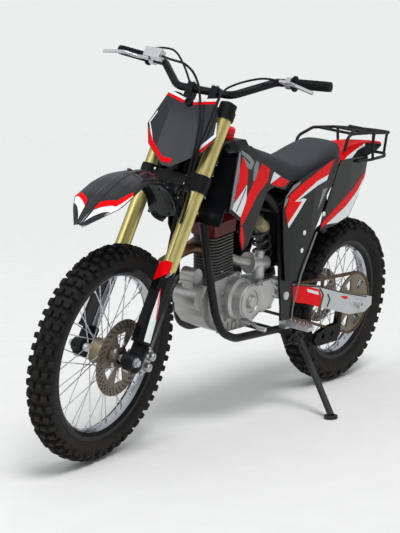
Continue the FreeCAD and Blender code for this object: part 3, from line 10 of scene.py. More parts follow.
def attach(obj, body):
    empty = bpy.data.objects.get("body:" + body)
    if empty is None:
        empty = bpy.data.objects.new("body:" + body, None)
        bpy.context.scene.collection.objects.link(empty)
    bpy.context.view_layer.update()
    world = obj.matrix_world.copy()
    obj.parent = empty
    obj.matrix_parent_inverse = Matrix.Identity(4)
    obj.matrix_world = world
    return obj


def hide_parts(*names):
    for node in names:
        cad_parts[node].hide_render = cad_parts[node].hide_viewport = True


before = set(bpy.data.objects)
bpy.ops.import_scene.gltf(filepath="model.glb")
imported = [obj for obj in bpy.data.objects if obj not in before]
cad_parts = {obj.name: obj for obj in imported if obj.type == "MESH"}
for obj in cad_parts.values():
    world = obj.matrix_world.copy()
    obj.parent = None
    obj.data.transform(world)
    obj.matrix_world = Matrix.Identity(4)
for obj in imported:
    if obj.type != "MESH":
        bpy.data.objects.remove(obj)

bl_info = {
    "name": "Motocross bike dresser",
    "version": (1, 0, 0),
    "blender": (4, 5, 0),
    "location": "View3D > Sidebar > Bike",
    "description": "Dresses the solids of a parked motocross bike with its rubber, panels, seat and graphics",
    "category": "Object",
}

# Where the bike, its steering and its wheels stand, in metres. REAR_FOOT is where the rear tyre stands on the
# floor, and TYRE_ROLL lifts the bike as it leans over on its round tyres.
MM = 0.001
LEAN = math.radians(8)
RAKE = math.radians(25.5)
STEER_TURN = math.radians(7)
WHEELBASE = 1.405
FRONT_RADIUS = 0.350
REAR_RADIUS = 0.330
AXLE_AHEAD = 0.060
REAR_FOOT = (-0.712, -0.171)
TYRE_ROLL = 0.012
AHEAD = Vector((math.cos(RAKE), 0, math.sin(RAKE)))
BIKE = Matrix.Translation((*REAR_FOOT, TYRE_ROLL * math.sin(LEAN))) @ Matrix.Rotation(-LEAN, 4, "X")
STEERING = (BIKE @ Matrix.Translation(Vector((WHEELBASE, 0, FRONT_RADIUS)) - AHEAD * AXLE_AHEAD)
            @ Matrix.Rotation(-RAKE, 4, "Y") @ Matrix.Rotation(STEER_TURN, 4, "Z"))
FRONT_WHEEL = STEERING @ Matrix.Translation((AXLE_AHEAD, 0, 0))
REAR_WHEEL = BIKE @ Matrix.Translation((0, 0, REAR_RADIUS))
PLACES = {"frame": BIKE, "steering": STEERING, "front_wheel": FRONT_WHEEL, "rear_wheel": REAR_WHEEL}

# The fork's left leg stands here on the steering, in millimetres
LEG_AHEAD = 28
LEG_LEFT = 97


def rgb(red, green, blue):
    """A screen colour from 0 to 255 as the linear colour that shaders take."""
    share = np.array([red, green, blue], float) / 255
    return tuple(np.where(share <= 0.04045, share / 12.92, ((share + 0.055) / 1.055) ** 2.4))


# Sizes and colours that a user would change
class BikeColours(bpy.types.PropertyGroup):
    red: FloatVectorProperty(
        name="Graphic red", description="Red of the panels' graphics", subtype="COLOR", size=3,
        min=0, max=1, default=rgb(226, 2, 12))
    white: FloatVectorProperty(
        name="Graphic white", description="White of the panels' graphics", subtype="COLOR", size=3,
        min=0, max=1, default=rgb(222, 228, 228))
    grey: FloatVectorProperty(
        name="Graphic grey", description="Grey fields of the panels' graphics", subtype="COLOR", size=3,
        min=0, max=1, default=rgb(118, 124, 128))
    gold: FloatVectorProperty(
        name="Fork gold", description="Anodised colour of the fork's outer tubes", subtype="COLOR", size=3,
        min=0, max=1, default=rgb(214, 201, 132))
    plastic: FloatVectorProperty(
        name="Black plastic", description="Base colour of the black bodywork", subtype="COLOR", size=3,
        min=0, max=1, default=rgb(15, 16, 18))
    vinyl: FloatVectorProperty(
        name="Seat cover", description="Colour of the saddle's vinyl", subtype="COLOR", size=3,
        min=0, max=1, default=rgb(54, 57, 61))


class BikeSizes(bpy.types.PropertyGroup):
    lug_height: FloatProperty(
        name="Lug height", description="How far the tread's lugs stand above the carcass",
        subtype="DISTANCE", unit="LENGTH", min=0.004, max=0.02, default=0.013)
    front_rows: IntProperty(
        name="Front lug rows", description="Rows of lugs round the front tyre", min=24, max=90, default=58)
    rear_rows: IntProperty(
        name="Rear lug rows", description="Rows of lugs round the rear tyre", min=24, max=90, default=46)
    sticker_lift: FloatProperty(
        name="Graphic thickness", description="How far a graphic stands above its panel",
        subtype="DISTANCE", unit="LENGTH", min=0.0002, max=0.002, default=0.0006)


def colours():
    """The colours as the user has set them."""
    return bpy.context.scene.bike_colours


def sizes():
    """The sizes as the user has set them."""
    return bpy.context.scene.bike_sizes


# Surfaces as whole arrays: each part is its points in millimetres and its lists of faces
def joined(parts):
    """One mesh from several: the points in one list, each part's faces counted on by the points before it."""
    points = np.concatenate([part[0] for part in parts])
    starts = np.cumsum([0] + [len(part[0]) for part in parts[:-1]])
    faces = [rows + start for part, start in zip(parts, starts) for rows in part[1]]
    return points, faces


def volume(points, faces):
    """The signed volume: a sixth of the sum over the faces' triangles of a . (b x c)."""
    total = 0.0
    for rows in faces:
        first = points[rows[:, 0]]
        for k in range(1, rows.shape[1] - 1):
            total += np.einsum("ij,ij->i", first, np.cross(points[rows[:, k]], points[rows[:, k + 1]])).sum()
    return total / 6


def outward(part):
    """The closed surface with its faces turned outwards."""
    points, faces = part
    centred = points - points.mean(0)
    return part if volume(centred, faces) > 0 else (points, [rows[:, ::-1] for rows in faces])


def quads(count_u, count_v, round_u=False, round_v=False):
    """The four-cornered faces of a grid of points, closed on itself where it goes round."""
    index = np.arange(count_u * count_v).reshape(count_u, count_v)
    if round_u:
        index = np.vstack([index, index[:1]])
    if round_v:
        index = np.hstack([index, index[:, :1]])
    corners = (index[:-1, :-1], index[1:, :-1], index[1:, 1:], index[:-1, 1:])
    return np.stack(corners, -1).reshape(-1, 4)


def tube_of_rings(grid, round_u=False):
    """A closed skin over rings of points: each row of the grid is a ring, and the two end rings are closed
    by fans to their middles unless the rows themselves go round."""
    rows, around = grid.shape[:2]
    points = grid.reshape(-1, 3)
    faces = [quads(rows, around, round_u, True)]
    if not round_u:
        points = np.concatenate([points, grid[0].mean(0)[None], grid[-1].mean(0)[None]])
        here = np.arange(around)
        after = np.roll(here, -1)
        last = (rows - 1) * around
        faces.append(np.stack([after, here, np.full(around, rows * around)], -1))
        faces.append(np.stack([here + last, after + last, np.full(around, rows * around + 1)], -1))
    return outward((points, faces))


def normals_of(grid):
    """Unit normals of a grid: the cross product of its differences along both parameters."""
    normal = np.cross(np.gradient(grid, axis=0), np.gradient(grid, axis=1))
    return normal / np.maximum(np.linalg.norm(normal, axis=2, keepdims=True), 1e-9)


def shell(outer, inner):
    """A closed plate between two grids of the same shape, with a wall along each of the four edges."""
    count_u, count_v = outer.shape[:2]
    total = count_u * count_v
    points = np.concatenate([outer.reshape(-1, 3), inner.reshape(-1, 3)])
    top = quads(count_u, count_v)
    index = np.arange(total).reshape(count_u, count_v)
    faces = [top, top[:, ::-1] + total]
    for edge in (index[0, ::-1], index[-1], index[:, 0], index[::-1, -1]):
        faces.append(np.stack([edge[:-1], edge[1:], edge[1:] + total, edge[:-1] + total], -1))
    return outward((points, faces))


def sheet(grid, thickness):
    """A plate of even thickness under a grid: the second face lies along the grid's normals."""
    return shell(grid, grid - normals_of(grid) * thickness)


def spun(profile, steps, axis="y"):
    """A closed profile of (along the axis, radius) pairs turned once round the axis."""
    profile = np.array(profile, float)
    angle = np.linspace(0, 2 * np.pi, steps, endpoint=False)[:, None]
    along = np.broadcast_to(profile[None, :, 0], (steps, len(profile)))
    radius = profile[None, :, 1]
    grid = np.stack([radius * np.cos(angle), along, radius * np.sin(angle)], -1)
    if axis == "z":
        grid = grid[..., [0, 2, 1]]
    return outward((grid.reshape(-1, 3), [quads(steps, len(profile), True, True)]))


def turned(profile, steps):
    """A solid from (along the axis, radius) pairs turned round the Z axis, its ends closed by fans."""
    profile = np.array(profile, float)
    angle = np.linspace(0, 2 * np.pi, steps, endpoint=False)[None, :]
    radius = profile[:, 1][:, None]
    height = np.broadcast_to(profile[:, 0][:, None], (len(profile), steps))
    return tube_of_rings(np.stack([radius * np.cos(angle), radius * np.sin(angle), height], -1))


def smooth_line(corners, count, rounds=2):
    """A smooth line near its corners: corners are cut at a quarter twice, then spaced evenly by length."""
    line = np.array(corners, float)
    for _ in range(rounds):
        near = line[:-1] * 0.75 + line[1:] * 0.25
        far = line[:-1] * 0.25 + line[1:] * 0.75
        line = np.concatenate([line[:1], np.stack([near, far], 1).reshape(-1, line.shape[1]), line[-1:]])
    return even_line(line, count)


def even_line(line, count):
    """The same line with its points at even lengths, each on a straight between two of the old ones."""
    line = np.array(line, float)
    step = np.linalg.norm(np.diff(line, axis=0), axis=1)
    place = np.concatenate([[0], np.cumsum(step)])
    wanted = np.linspace(0, place[-1], count)
    return np.stack([np.interp(wanted, place, line[:, k]) for k in range(line.shape[1])], -1)


def boxes(frames, half, taper=0.82, chamfer=0.18):
    """Lugs as tapered blocks with a chamfered top: for each frame (middle of its foot, along, across, out),
    a foot rectangle, a shoulder rectangle and a smaller top rectangle, joined by walls and closed above.
    half is half the length, half the width and the height, one row for each block."""
    middle, along, across, out = [np.array(part, float) for part in frames]
    half = np.array(half, float)
    signs = np.array([(-1, -1), (1, -1), (1, 1), (-1, 1)], float)
    levels = np.array([(1.0, -0.25), (1 - (1 - taper) * 0.7, 1 - chamfer), (taper - chamfer, 1.0)])
    size = levels[None, :, None, :1] * signs[None, None] * half[:, None, None, :2]
    height = np.broadcast_to(levels[None, :, None, 1] * half[:, None, None, 2], size.shape[:3])
    points = (middle[:, None, None] + size[..., :1] * along[:, None, None]
              + size[..., 1:] * across[:, None, None] + height[..., None] * out[:, None, None])
    count = len(middle)
    start = (np.arange(count) * 12)[:, None, None]
    ring = np.arange(4)
    after = np.roll(ring, -1)
    walls = np.concatenate([
        np.stack([ring + low, after + low, after + low + 4, ring + low + 4], -1) for low in (0, 4)])
    top = np.array([[8, 9, 10, 11]])
    foot = np.array([[3, 2, 1, 0]])
    block = np.concatenate([walls, top, foot])[None]
    return points.reshape(-1, 3), [(block + start).reshape(-1, 4)]


def chamfered(low, high, edge):
    """A block between two corners with its edges and corners cut: each corner becomes three points, one on
    each face that meets there, joined by 6 faces, 12 edge strips and 8 corner triangles."""
    low, high = np.array(low, float), np.array(high, float)
    corners = np.array([(x, y, z) for x in (0, 1) for y in (0, 1) for z in (0, 1)])
    inset = np.where(corners == 1, high - edge, low + edge)
    full = np.where(corners == 1, high, low)
    points = np.concatenate([np.where(np.arange(3) == axis, full, inset) for axis in range(3)])
    fours = []
    for axis in range(3):
        step = [4, 2, 1][axis]
        first, second = [size for size in (4, 2, 1) if size != step]
        turn = [0, first, first + second, second]
        for end in (0, step):
            fours.append([axis * 8 + end + k for k in turn])
        other, third = [k for k in range(3) if k != axis]
        for a_end in (0, first):
            for b_end in (0, second):
                near = other * 8 + a_end + b_end
                far = third * 8 + a_end + b_end
                fours.append([near, near + step, far + step, far])
    threes = [[k, 8 + k, 16 + k] for k in range(8)]
    middle = (low + high) / 2
    return points, [away_from(points, np.array(rows), middle) for rows in (fours, threes)]


def away_from(points, rows, middle):
    """Turns each face of a convex surface away from its middle."""
    normal = np.cross(points[rows[:, 1]] - points[rows[:, 0]], points[rows[:, 2]] - points[rows[:, 0]])
    inwards = (normal * (points[rows].mean(1) - middle)).sum(1) < 0
    return np.where(inwards[:, None], rows[:, ::-1], rows)


def mirrored(part):
    """The part's mirror image in the bike's middle plane, its faces turned back outwards."""
    points, faces = part
    return points * np.array([1, -1, 1]), [rows[:, ::-1] for rows in faces]


def both(part):
    """The part on the left together with its mirror image on the right."""
    return joined([part, mirrored(part)])


def repeated(part, places):
    """Copies of a part, one at each place: a place is a 3x3 turn and a shift in millimetres."""
    points, faces = part
    turns = np.array([np.array(turn, float) for turn, shift in places])
    shifts = np.array([shift for turn, shift in places], float)
    moved = np.einsum("nij,pj->npi", turns, points) + shifts[:, None]
    steps = np.arange(len(places))[:, None, None] * len(points)
    return moved.reshape(-1, 3), [(rows[None] + steps).reshape(-1, rows.shape[1]) for rows in faces]


def pointing(direction, at):
    """A turn that carries Z to a direction, with the shift to a place."""
    turn = Vector(direction).normalized().to_track_quat("Z", "Y").to_matrix()
    return [list(row) for row in turn], at


def piece(name, part, body, surface, sharp=None, stands_for=()):
    """Puts a surface into the scene as an object at the origin, with its body's place in its mesh: each
    point is turned and shifted by that place."""
    points, faces = part
    place = PLACES[body]
    turn = np.array(place.to_3x3())
    shift = np.array(place.translation)
    spots = points * MM @ turn.T + shift
    mesh = bpy.data.meshes.new(name)
    mesh.from_pydata(spots.tolist(), [], [row for rows in faces for row in rows.tolist()])
    mesh.validate()
    mesh.polygons.foreach_set("use_smooth", np.ones(len(mesh.polygons), bool))
    if sharp is not None:
        mesh.set_sharp_from_angle(angle=math.radians(sharp))
    mesh.materials.append(surface)
    made = bpy.data.objects.new(name, mesh)
    bpy.context.scene.collection.objects.link(made)
    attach(made, body)
    if stands_for:
        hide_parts(*stands_for)
    return made


# Finishes as node materials on Object coordinates
DUST_COLOUR = (0.17, 0.14, 0.11, 1)
PATCH_SCALE = 9.0
SPECK_SCALE = 60.0
BUMP_DEPTH = 0.0006


def added(tree, kind, **values):
    """A new node with some of its sockets set, named with a low line for each space."""
    made = tree.nodes.new(kind)
    for name, value in values.items():
        made.inputs[name.replace("_", " ")].default_value = value
    return made


def dusted(tree, where, base, dust, dust_top):
    """The base colour paled towards the ground: the share of dust falls with height from the floor to
    dust_top and is broken up by a fine noise."""
    link = tree.links.new
    split = added(tree, "ShaderNodeSeparateXYZ")
    link(where, split.inputs["Vector"])
    height = added(tree, "ShaderNodeMapRange", From_Min=dust_top, From_Max=0.0, To_Max=dust)
    link(split.outputs["Z"], height.inputs["Value"])
    specks = added(tree, "ShaderNodeTexNoise", Scale=SPECK_SCALE, Detail=8.0)
    link(where, specks.inputs["Vector"])
    share = added(tree, "ShaderNodeMath")
    share.operation = "MULTIPLY"
    link(height.outputs["Result"], share.inputs[0])
    link(specks.outputs["Fac"], share.inputs[1])
    dusty = added(tree, "ShaderNodeMix")
    dusty.data_type = "RGBA"
    link(share.outputs["Value"], dusty.inputs["Factor"])
    link(base, dusty.inputs["A"])
    dusty.inputs["B"].default_value = DUST_COLOUR
    return dusty.outputs["Result"]


def finish(name, colour, rough=0.4, metal=0.0, grain=220.0, relief=0.15, mottle=0.12, span=0.08,
           coat=0.0, dust=0.0, dust_top=0.35, shine=0.16):
    """A finish with its own grain: a soft noise varies its colour and its roughness, a finer one gives its
    bumps, and dust, if any, pales it towards the ground."""
    made = bpy.data.materials.new(name)
    made.use_nodes = True
    tree = made.node_tree
    link = tree.links.new
    shader = tree.nodes["Principled BSDF"]
    shader.inputs["Metallic"].default_value = metal
    shader.inputs["Specular IOR Level"].default_value = shine
    shader.inputs["Coat Weight"].default_value = coat
    shader.inputs["Coat Roughness"].default_value = 0.08
    where = added(tree, "ShaderNodeTexCoord").outputs["Object"]
    patches = added(tree, "ShaderNodeTexNoise", Scale=PATCH_SCALE, Detail=5.0)
    link(where, patches.inputs["Vector"])
    tone = added(tree, "ShaderNodeValToRGB")
    low, high = tone.color_ramp.elements
    low.position, high.position = 0.3, 0.7
    low.color = (*[c * (1 - mottle) for c in colour], 1)
    high.color = (*[min(c * (1 + mottle), 1) for c in colour], 1)
    link(patches.outputs["Fac"], tone.inputs["Fac"])
    base = tone.outputs["Color"]
    link(dusted(tree, where, base, dust, dust_top) if dust else base, shader.inputs["Base Color"])
    gloss = added(tree, "ShaderNodeMapRange", To_Min=max(rough - span, 0.03), To_Max=min(rough + span, 1))
    link(patches.outputs["Fac"], gloss.inputs["Value"])
    link(gloss.outputs["Result"], shader.inputs["Roughness"])
    fine = added(tree, "ShaderNodeTexNoise", Scale=grain, Detail=3.0)
    link(where, fine.inputs["Vector"])
    bump = added(tree, "ShaderNodeBump", Strength=relief, Distance=BUMP_DEPTH)
    link(fine.outputs["Fac"], bump.inputs["Height"])
    link(bump.outputs["Normal"], shader.inputs["Normal"])
    return made


def finishes():
    """Every finish of the bike, made once and found again by its name."""
    paint = colours()
    made = {
        "frame_paint": dict(colour=rgb(13, 13, 15), rough=0.34, coat=0.15, dust=0.1),
        "black_plastic": dict(colour=paint.plastic, rough=0.24, grain=600, relief=0.05, coat=0.05,
                              shine=0.12),
        "seat_vinyl": dict(colour=paint.vinyl, rough=0.55, grain=1400, relief=0.35, mottle=0.06),
        "graphic_red": dict(colour=paint.red, rough=0.36, grain=500, relief=0.03, mottle=0.04, shine=0.06),
        "graphic_white": dict(colour=paint.white, rough=0.3, grain=500, relief=0.03, mottle=0.03, coat=0.2),
        "graphic_grey": dict(colour=paint.grey, rough=0.3, grain=500, relief=0.03, mottle=0.05, coat=0.2),
        "graphic_black": dict(colour=rgb(11, 12, 14), rough=0.25, grain=500, relief=0.03, coat=0.15),
        "fender_black": dict(colour=rgb(24, 26, 29), rough=0.2, grain=700, relief=0.04, coat=0.45),
        "plate_grey": dict(colour=rgb(38, 41, 45), rough=0.22, grain=700, relief=0.03, coat=0.3),
        "fork_gold": dict(colour=paint.gold, rough=0.32, metal=0.85, grain=900, relief=0.05, mottle=0.05),
        "clamp_black": dict(colour=rgb(19, 20, 22), rough=0.45, grain=900, relief=0.3),
        "bar_black": dict(colour=rgb(22, 23, 25), rough=0.3, grain=900, relief=0.08),
        "polished_steel": dict(colour=rgb(188, 191, 196), rough=0.14, metal=1.0, grain=700, relief=0.03),
        "spoke_steel": dict(colour=rgb(206, 208, 212), rough=0.28, metal=0.75, grain=900, relief=0.05),
        "hub_bronze": dict(colour=rgb(148, 136, 110), rough=0.42, metal=0.7, grain=500, relief=0.2,
                           mottle=0.2),
        "disc_steel": dict(colour=rgb(116, 106, 95), rough=0.4, metal=0.8, grain=900, relief=0.2, mottle=0.2),
        "cast_silver": dict(colour=rgb(182, 182, 180), rough=0.4, metal=0.75, grain=420, relief=0.5,
                            mottle=0.16, dust=0.2, dust_top=0.5),
        "fin_grey": dict(colour=rgb(116, 114, 110), rough=0.5, metal=0.6, grain=420, relief=0.5, mottle=0.2),
        # The head cover's dark red is painted shade: a red as it looks in shade, darker than the red cap
        "head_red_painted_shade": dict(colour=rgb(92, 2, 16), rough=0.36, grain=300, relief=0.3, coat=0.15),
        "cap_red": dict(colour=rgb(226, 10, 32), rough=0.3, grain=500, relief=0.06, coat=0.15),
        "bright_silver": dict(colour=rgb(190, 192, 194), rough=0.3, metal=0.8, grain=500, relief=0.25),
        "pipe_brown": dict(colour=rgb(116, 90, 68), rough=0.38, metal=0.8, grain=300, relief=0.2,
                           mottle=0.35),
        "chain_brown": dict(colour=rgb(96, 76, 60), rough=0.5, metal=0.6, grain=400, relief=0.3,
                            mottle=0.3),
        "sprocket_silver": dict(colour=rgb(122, 112, 96), rough=0.4, metal=0.7, grain=400, relief=0.3,
                                mottle=0.25),
        "arm_silver": dict(colour=rgb(190, 194, 194), rough=0.34, metal=0.5, grain=500, relief=0.12,
                           mottle=0.07, dust=0.12),
        "tyre_rubber": dict(colour=rgb(19, 19, 20), rough=0.66, grain=380, relief=0.5, mottle=0.2, dust=0.16,
                            dust_top=0.75),
        "grip_rubber": dict(colour=rgb(17, 18, 19), rough=0.6, grain=700, relief=0.4),
        "hose_rubber": dict(colour=rgb(16, 17, 18), rough=0.4, grain=900, relief=0.2),
        "vent_grey": dict(colour=rgb(118, 118, 118), rough=0.4, grain=900, relief=0.2),
        "stand_grey": dict(colour=rgb(48, 50, 52), rough=0.5, grain=500, relief=0.2, shine=0.12),
        "rack_grey": dict(colour=rgb(40, 41, 43), rough=0.55, grain=700, relief=0.3, shine=0.1),
        "spring_grey": dict(colour=rgb(106, 106, 106), rough=0.34, metal=0.5, grain=500, relief=0.1),
        "canister_beige": dict(colour=rgb(190, 178, 138), rough=0.4, metal=0.4, grain=500, relief=0.15),
        "airbox_black": dict(colour=rgb(12, 13, 14), rough=0.55, grain=500, relief=0.3),
        # The rims' black sides are painted shade and a painted dark reflection of the tyre on the chrome rim
        "rim_painted_shade": dict(colour=rgb(15, 15, 17), rough=0.3, grain=500, relief=0.1, coat=0.1),
        "foot_black": dict(colour=rgb(20, 21, 23), rough=0.42, grain=420, relief=0.5, dust=0.1),
    }
    # The solids come with plain materials under the record's own names, so these carry a prefix
    return {name: bpy.data.materials.get("bike_" + name) or finish("bike_" + name, **how)
            for name, how in made.items()}


CAD_FINISHES = {
    "main_frame": "frame_paint", "side_stand": "stand_grey", "swingarm": "arm_silver",
    "chain_guide": "airbox_black", "rear_caliper": "bright_silver", "foot_pegs": "bright_silver",
    "foot_controls": "bright_silver", "engine_case": "cast_silver", "engine_covers": "cast_silver",
    "cylinder": "fin_grey", "head_cover": "head_red_painted_shade", "carburettor": "cast_silver",
    "airbox": "airbox_black", "exhaust": "pipe_brown", "shock": "spring_grey",
    "shock_reservoir": "canister_beige", "tank_cap": "cap_red", "fuel_tank": "black_plastic",
    "shrouds": "black_plastic", "seat": "seat_vinyl",
    "side_panels": "black_plastic", "tail": "black_plastic", "rack": "rack_grey", "vent_hose": "vent_grey",
    "upper_clamp": "clamp_black", "lower_clamp": "clamp_black", "fork_outer_tubes": "fork_gold",
    "fork_sliders": "polished_steel", "front_axle": "bright_silver", "fork_guards": "graphic_black",
    "front_fender": "fender_black", "number_plate": "plate_grey", "handlebar": "bar_black",
    "grips": "grip_rubber", "clutch_lever": "bright_silver", "brake_lever": "bright_silver",
    "front_caliper": "bright_silver", "brake_hose": "hose_rubber", "clutch_cable": "hose_rubber",
    "throttle_cable": "hose_rubber", "front_tyre": "tyre_rubber", "rear_tyre": "tyre_rubber",
    "front_rim": "polished_steel", "rear_rim": "polished_steel", "front_hub": "hub_bronze",
    "rear_hub": "hub_bronze", "front_disc": "disc_steel", "rear_disc": "disc_steel",
    "rear_sprocket": "sprocket_silver", "chain": "chain_brown",
}


class BIKE_OT_finish_solids(bpy.types.Operator):
    """Give every solid of the model its finish"""

    bl_idname = "bike.finish_solids"
    bl_label = "Finish the solids"

    def execute(self, context):
        made = finishes()
        for name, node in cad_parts.items():
            node.data.materials.clear()
            node.data.materials.append(made[CAD_FINISHES[name]])
        return {"FINISHED"}


# Tyres
CROWN_POINTS = 15
LINING_POINTS = 11
TYRE_STEPS = 160
LINE_POINTS = 101

# Lugs of even and odd rows: place across, length, width and share of the full height. They are given for a
# tread that is HALF_TREAD long from its crown to its edge, and LUG_SHARE shortens them along the tyre.
EVEN_LUGS = [(0.0, 13, 10.5, 1.0), (-27, 11, 9, 0.98), (27, 11, 9, 0.98), (-48, 12, 8, 0.8), (48, 12, 8, 0.8)]
ODD_LUGS = [(-14, 12, 9.5, 1.0), (14, 12, 9.5, 1.0), (-38, 11, 8, 0.9), (38, 11, 8, 0.9)]
HALF_TREAD = 96
LUG_SHARE = 0.82

# Each tyre: corners of half its section outside and inside, from crown to bead as (along the axle, radius)
# pairs, how much lower its lugs are than the set height, and how far its rows spread towards the rim
TYRES = {
    "front": ([(0, 337), (20, 335.5), (33, 328), (40.5, 315), (41.5, 302), (36, 289), (25.4, 281), (25, 265)],
              [(0, 326), (26, 322), (33, 305), (26, 285), (16.5, 265)], 0.5, 0.93),
    "rear": ([(0, 316), (26, 314.5), (42, 307), (51.5, 292), (53, 276), (45, 256), (32.4, 243), (32, 227)],
             [(0, 305), (34, 299), (44, 280), (34, 252), (23.5, 227)], 0, 1.15),
}


def section(corners, count):
    """A smooth tyre section from its crown to its bead, as (along the axle, radius) pairs, mirrored."""
    half = smooth_line(corners, count)
    return np.concatenate([half[::-1] * np.array([-1, 1]), half[1:]])


def tyre_part(outline, inside, rows, lug, spread):
    """The carcass is a smooth section turned round the axle. The lugs stand on it in rows: each row sits at
    one angle, and even and odd rows set their lugs at different shares of the section's length."""
    crown = section(outline, CROWN_POINTS)
    lining = section(inside, LINING_POINTS)[::-1]
    carcass = spun(np.concatenate([crown, lining]), TYRE_STEPS)
    line = even_line(crown, LINE_POINTS)
    step = np.gradient(line, axis=0)
    step /= np.linalg.norm(step, axis=1, keepdims=True)
    length = np.linalg.norm(np.diff(line, axis=0), axis=1).sum()
    scale = length / 2 / HALF_TREAD
    wanted, angles, half = [], [], []
    for number in range(rows):
        for across, long, wide, tall in (EVEN_LUGS if number % 2 == 0 else ODD_LUGS):
            wanted.append(0.5 + across * spread / length)
            angles.append(2 * np.pi * number / rows)
            half.append((long * scale * LUG_SHARE, wide * scale, lug * tall))
    spot = np.clip(np.array(wanted), 0, 1) * (LINE_POINTS - 1)
    angle = np.array(angles)
    number = np.arange(LINE_POINTS)
    at = np.stack([np.interp(spot, number, line[:, k]) for k in (0, 1)], -1)
    run = np.stack([np.interp(spot, number, step[:, k]) for k in (0, 1)], -1)
    outwards = np.stack([np.cos(angle), np.zeros_like(angle), np.sin(angle)], -1)
    axle = np.array([0, 1, 0])
    middle = outwards * at[:, 1:] + axle * at[:, :1]
    across = outwards * run[:, 1:] + axle * run[:, :1]
    along = np.stack([-np.sin(angle), np.zeros_like(angle), np.cos(angle)], -1)
    out = np.cross(across, along)
    out *= np.sign((out * outwards).sum(1, keepdims=True))
    return joined([carcass, turned_out(boxes((middle, along, across, out), half))])


def turned_out(part):
    """Separate solids that share one turn: the sign of their whole volume says which way they all face."""
    points, faces = part
    return part if volume(points, faces) > 0 else (points, [rows[:, ::-1] for rows in faces])


class BIKE_OT_tyres(bpy.types.Operator):
    """Make both knobbly tyres"""

    bl_idname = "bike.tyres"
    bl_label = "Tyres"

    def execute(self, context):
        lug = sizes().lug_height / MM
        for name, rows in (("front", sizes().front_rows), ("rear", sizes().rear_rows)):
            outline, inside, lower, spread = TYRES[name]
            tread = tyre_part(outline, inside, rows, lug - lower, spread)
            piece(name + "_tyre_tread", tread, name + "_wheel", finishes()["tyre_rubber"], 30,
                  [name + "_tyre"])
        return {"FINISHED"}


# Rims and spokes
RIMS = {
    # radius of the lip, half width and where the spokes end
    "front": (280.5, 27, 250.4),
    "rear": (242.5, 33, 212.4),
}
HUBS = {
    # profile as (along the axle, radius) pairs, then the spokes' circle and its place along the axle
    "front": ([(-35, 10.05), (-35, 36), (-33, 42), (-27, 42), (-20, 38), (-4, 38), (16, 27), (27, 42),
               (33, 42), (35, 36), (35, 10.05)], 38, 30),
    "rear": ([(-46, 10.05), (-46, 30), (-43, 44), (-36, 44), (-32, 32), (32, 32), (36, 44), (43, 44),
              (46, 34), (46, 10.05)], 40, 39),
}
SPOKES = 36
SPOKE_RADIUS = 1.7
SPOKE_TURN = math.radians(62)
RIM_SPREAD = 5
NIPPLE = [(0, 2.2), (9, 2.4), (10, 3.4), (16, 3.6), (16, 0.4)]
NIPPLE_LENGTH = 16
WALL = 3


def rim_parts(radius, half, bed):
    """The bright bed and the black sides of a rim, both closed profiles turned round the axle. The sides'
    black is painted shade and a painted dark reflection of the tyre on the bright rim.
    """
    lip = radius - 15
    slope = radius - 21
    low = radius - 25
    bright = [(-half, radius), (-half + WALL, radius), (-half + WALL, lip), (-15, slope), (-8, bed + WALL),
              (8, bed + WALL), (15, slope), (half - WALL, lip), (half - WALL, radius), (half, radius),
              (half, lip), (18, low), (9, bed), (-9, bed), (-18, low), (-half, lip)]
    # The sides get the black finish: painted shade and a painted dark reflection of the tyre
    side = [(half, radius), (half + 0.8, radius - 1), (half + 0.8, lip), (half - 2, lip - 3), (19, low - 1),
            (18, low), (half, lip)]
    black = spun(side, 120)
    return spun(bright, 120), joined([black, mirrored(black)])


def spoke_ends(reach):
    """Nipples on the rim's bed where the spokes end, alternately to both sides."""
    inner = reach - NIPPLE_LENGTH
    places = []
    for number, turn in enumerate(2 * np.pi * np.arange(SPOKES) / SPOKES):
        at = (inner * math.cos(turn), RIM_SPREAD * (-1) ** number, inner * math.sin(turn))
        places.append(pointing((math.cos(turn), 0, math.sin(turn)), at))
    return repeated(turned(NIPPLE, 8), places)


def spoke_rods(start, left, reach):
    """Spokes from both flanges: each leaves its flange SPOKE_TURN before or after the place it reaches."""
    number = np.arange(SPOKES)
    rim_turn = 2 * np.pi * number / SPOKES
    side = np.where(number % 2 == 0, 1, -1)
    hub_turn = rim_turn + np.where(number % 4 < 2, 1, -1) * SPOKE_TURN
    ends = [np.stack([size * np.cos(turn), side * out, size * np.sin(turn)], -1)
            for size, turn, out in ((start, hub_turn, left), (reach, rim_turn, RIM_SPREAD))]
    length = float(np.linalg.norm(ends[1][0] - ends[0][0]))
    rod = turned([(0, 0.3), (0, SPOKE_RADIUS), (length, SPOKE_RADIUS), (length, 0.3)], 8)
    return repeated(rod, [pointing(last - first, first) for first, last in zip(*ends)])


class BIKE_OT_rims(bpy.types.Operator):
    """Make both rims with their spoke ends"""

    bl_idname = "bike.rims"
    bl_label = "Rims"

    def execute(self, context):
        made = finishes()
        for name, (radius, half, reach) in RIMS.items():
            body = name + "_wheel"
            bright, black = rim_parts(radius, half, reach - 2)
            piece(name + "_rim_bed", bright, body, made["polished_steel"], 30, [name + "_rim"])
            # Black sides: painted shade and a painted dark reflection of the tyre on the rim
            piece(name + "_rim_shade_sides", black, body, made["rim_painted_shade"], 30)
            piece(name + "_spoke_ends", spoke_ends(reach), body, made["bright_silver"], 40)
        return {"FINISHED"}


class BIKE_OT_hubs(bpy.types.Operator):
    """Make both hubs and their spokes"""

    bl_idname = "bike.hubs"
    bl_label = "Hubs and spokes"

    def execute(self, context):
        made = finishes()
        for name, (profile, start, left) in HUBS.items():
            body = name + "_wheel"
            reach = RIMS[name][2]
            piece(name + "_hub_drum", spun(profile, 72), body, made["hub_bronze"], 30, [name + "_hub"])
            piece(name + "_spokes", spoke_rods(start, left, reach), body, made["spoke_steel"], 50)
        return {"FINISHED"}


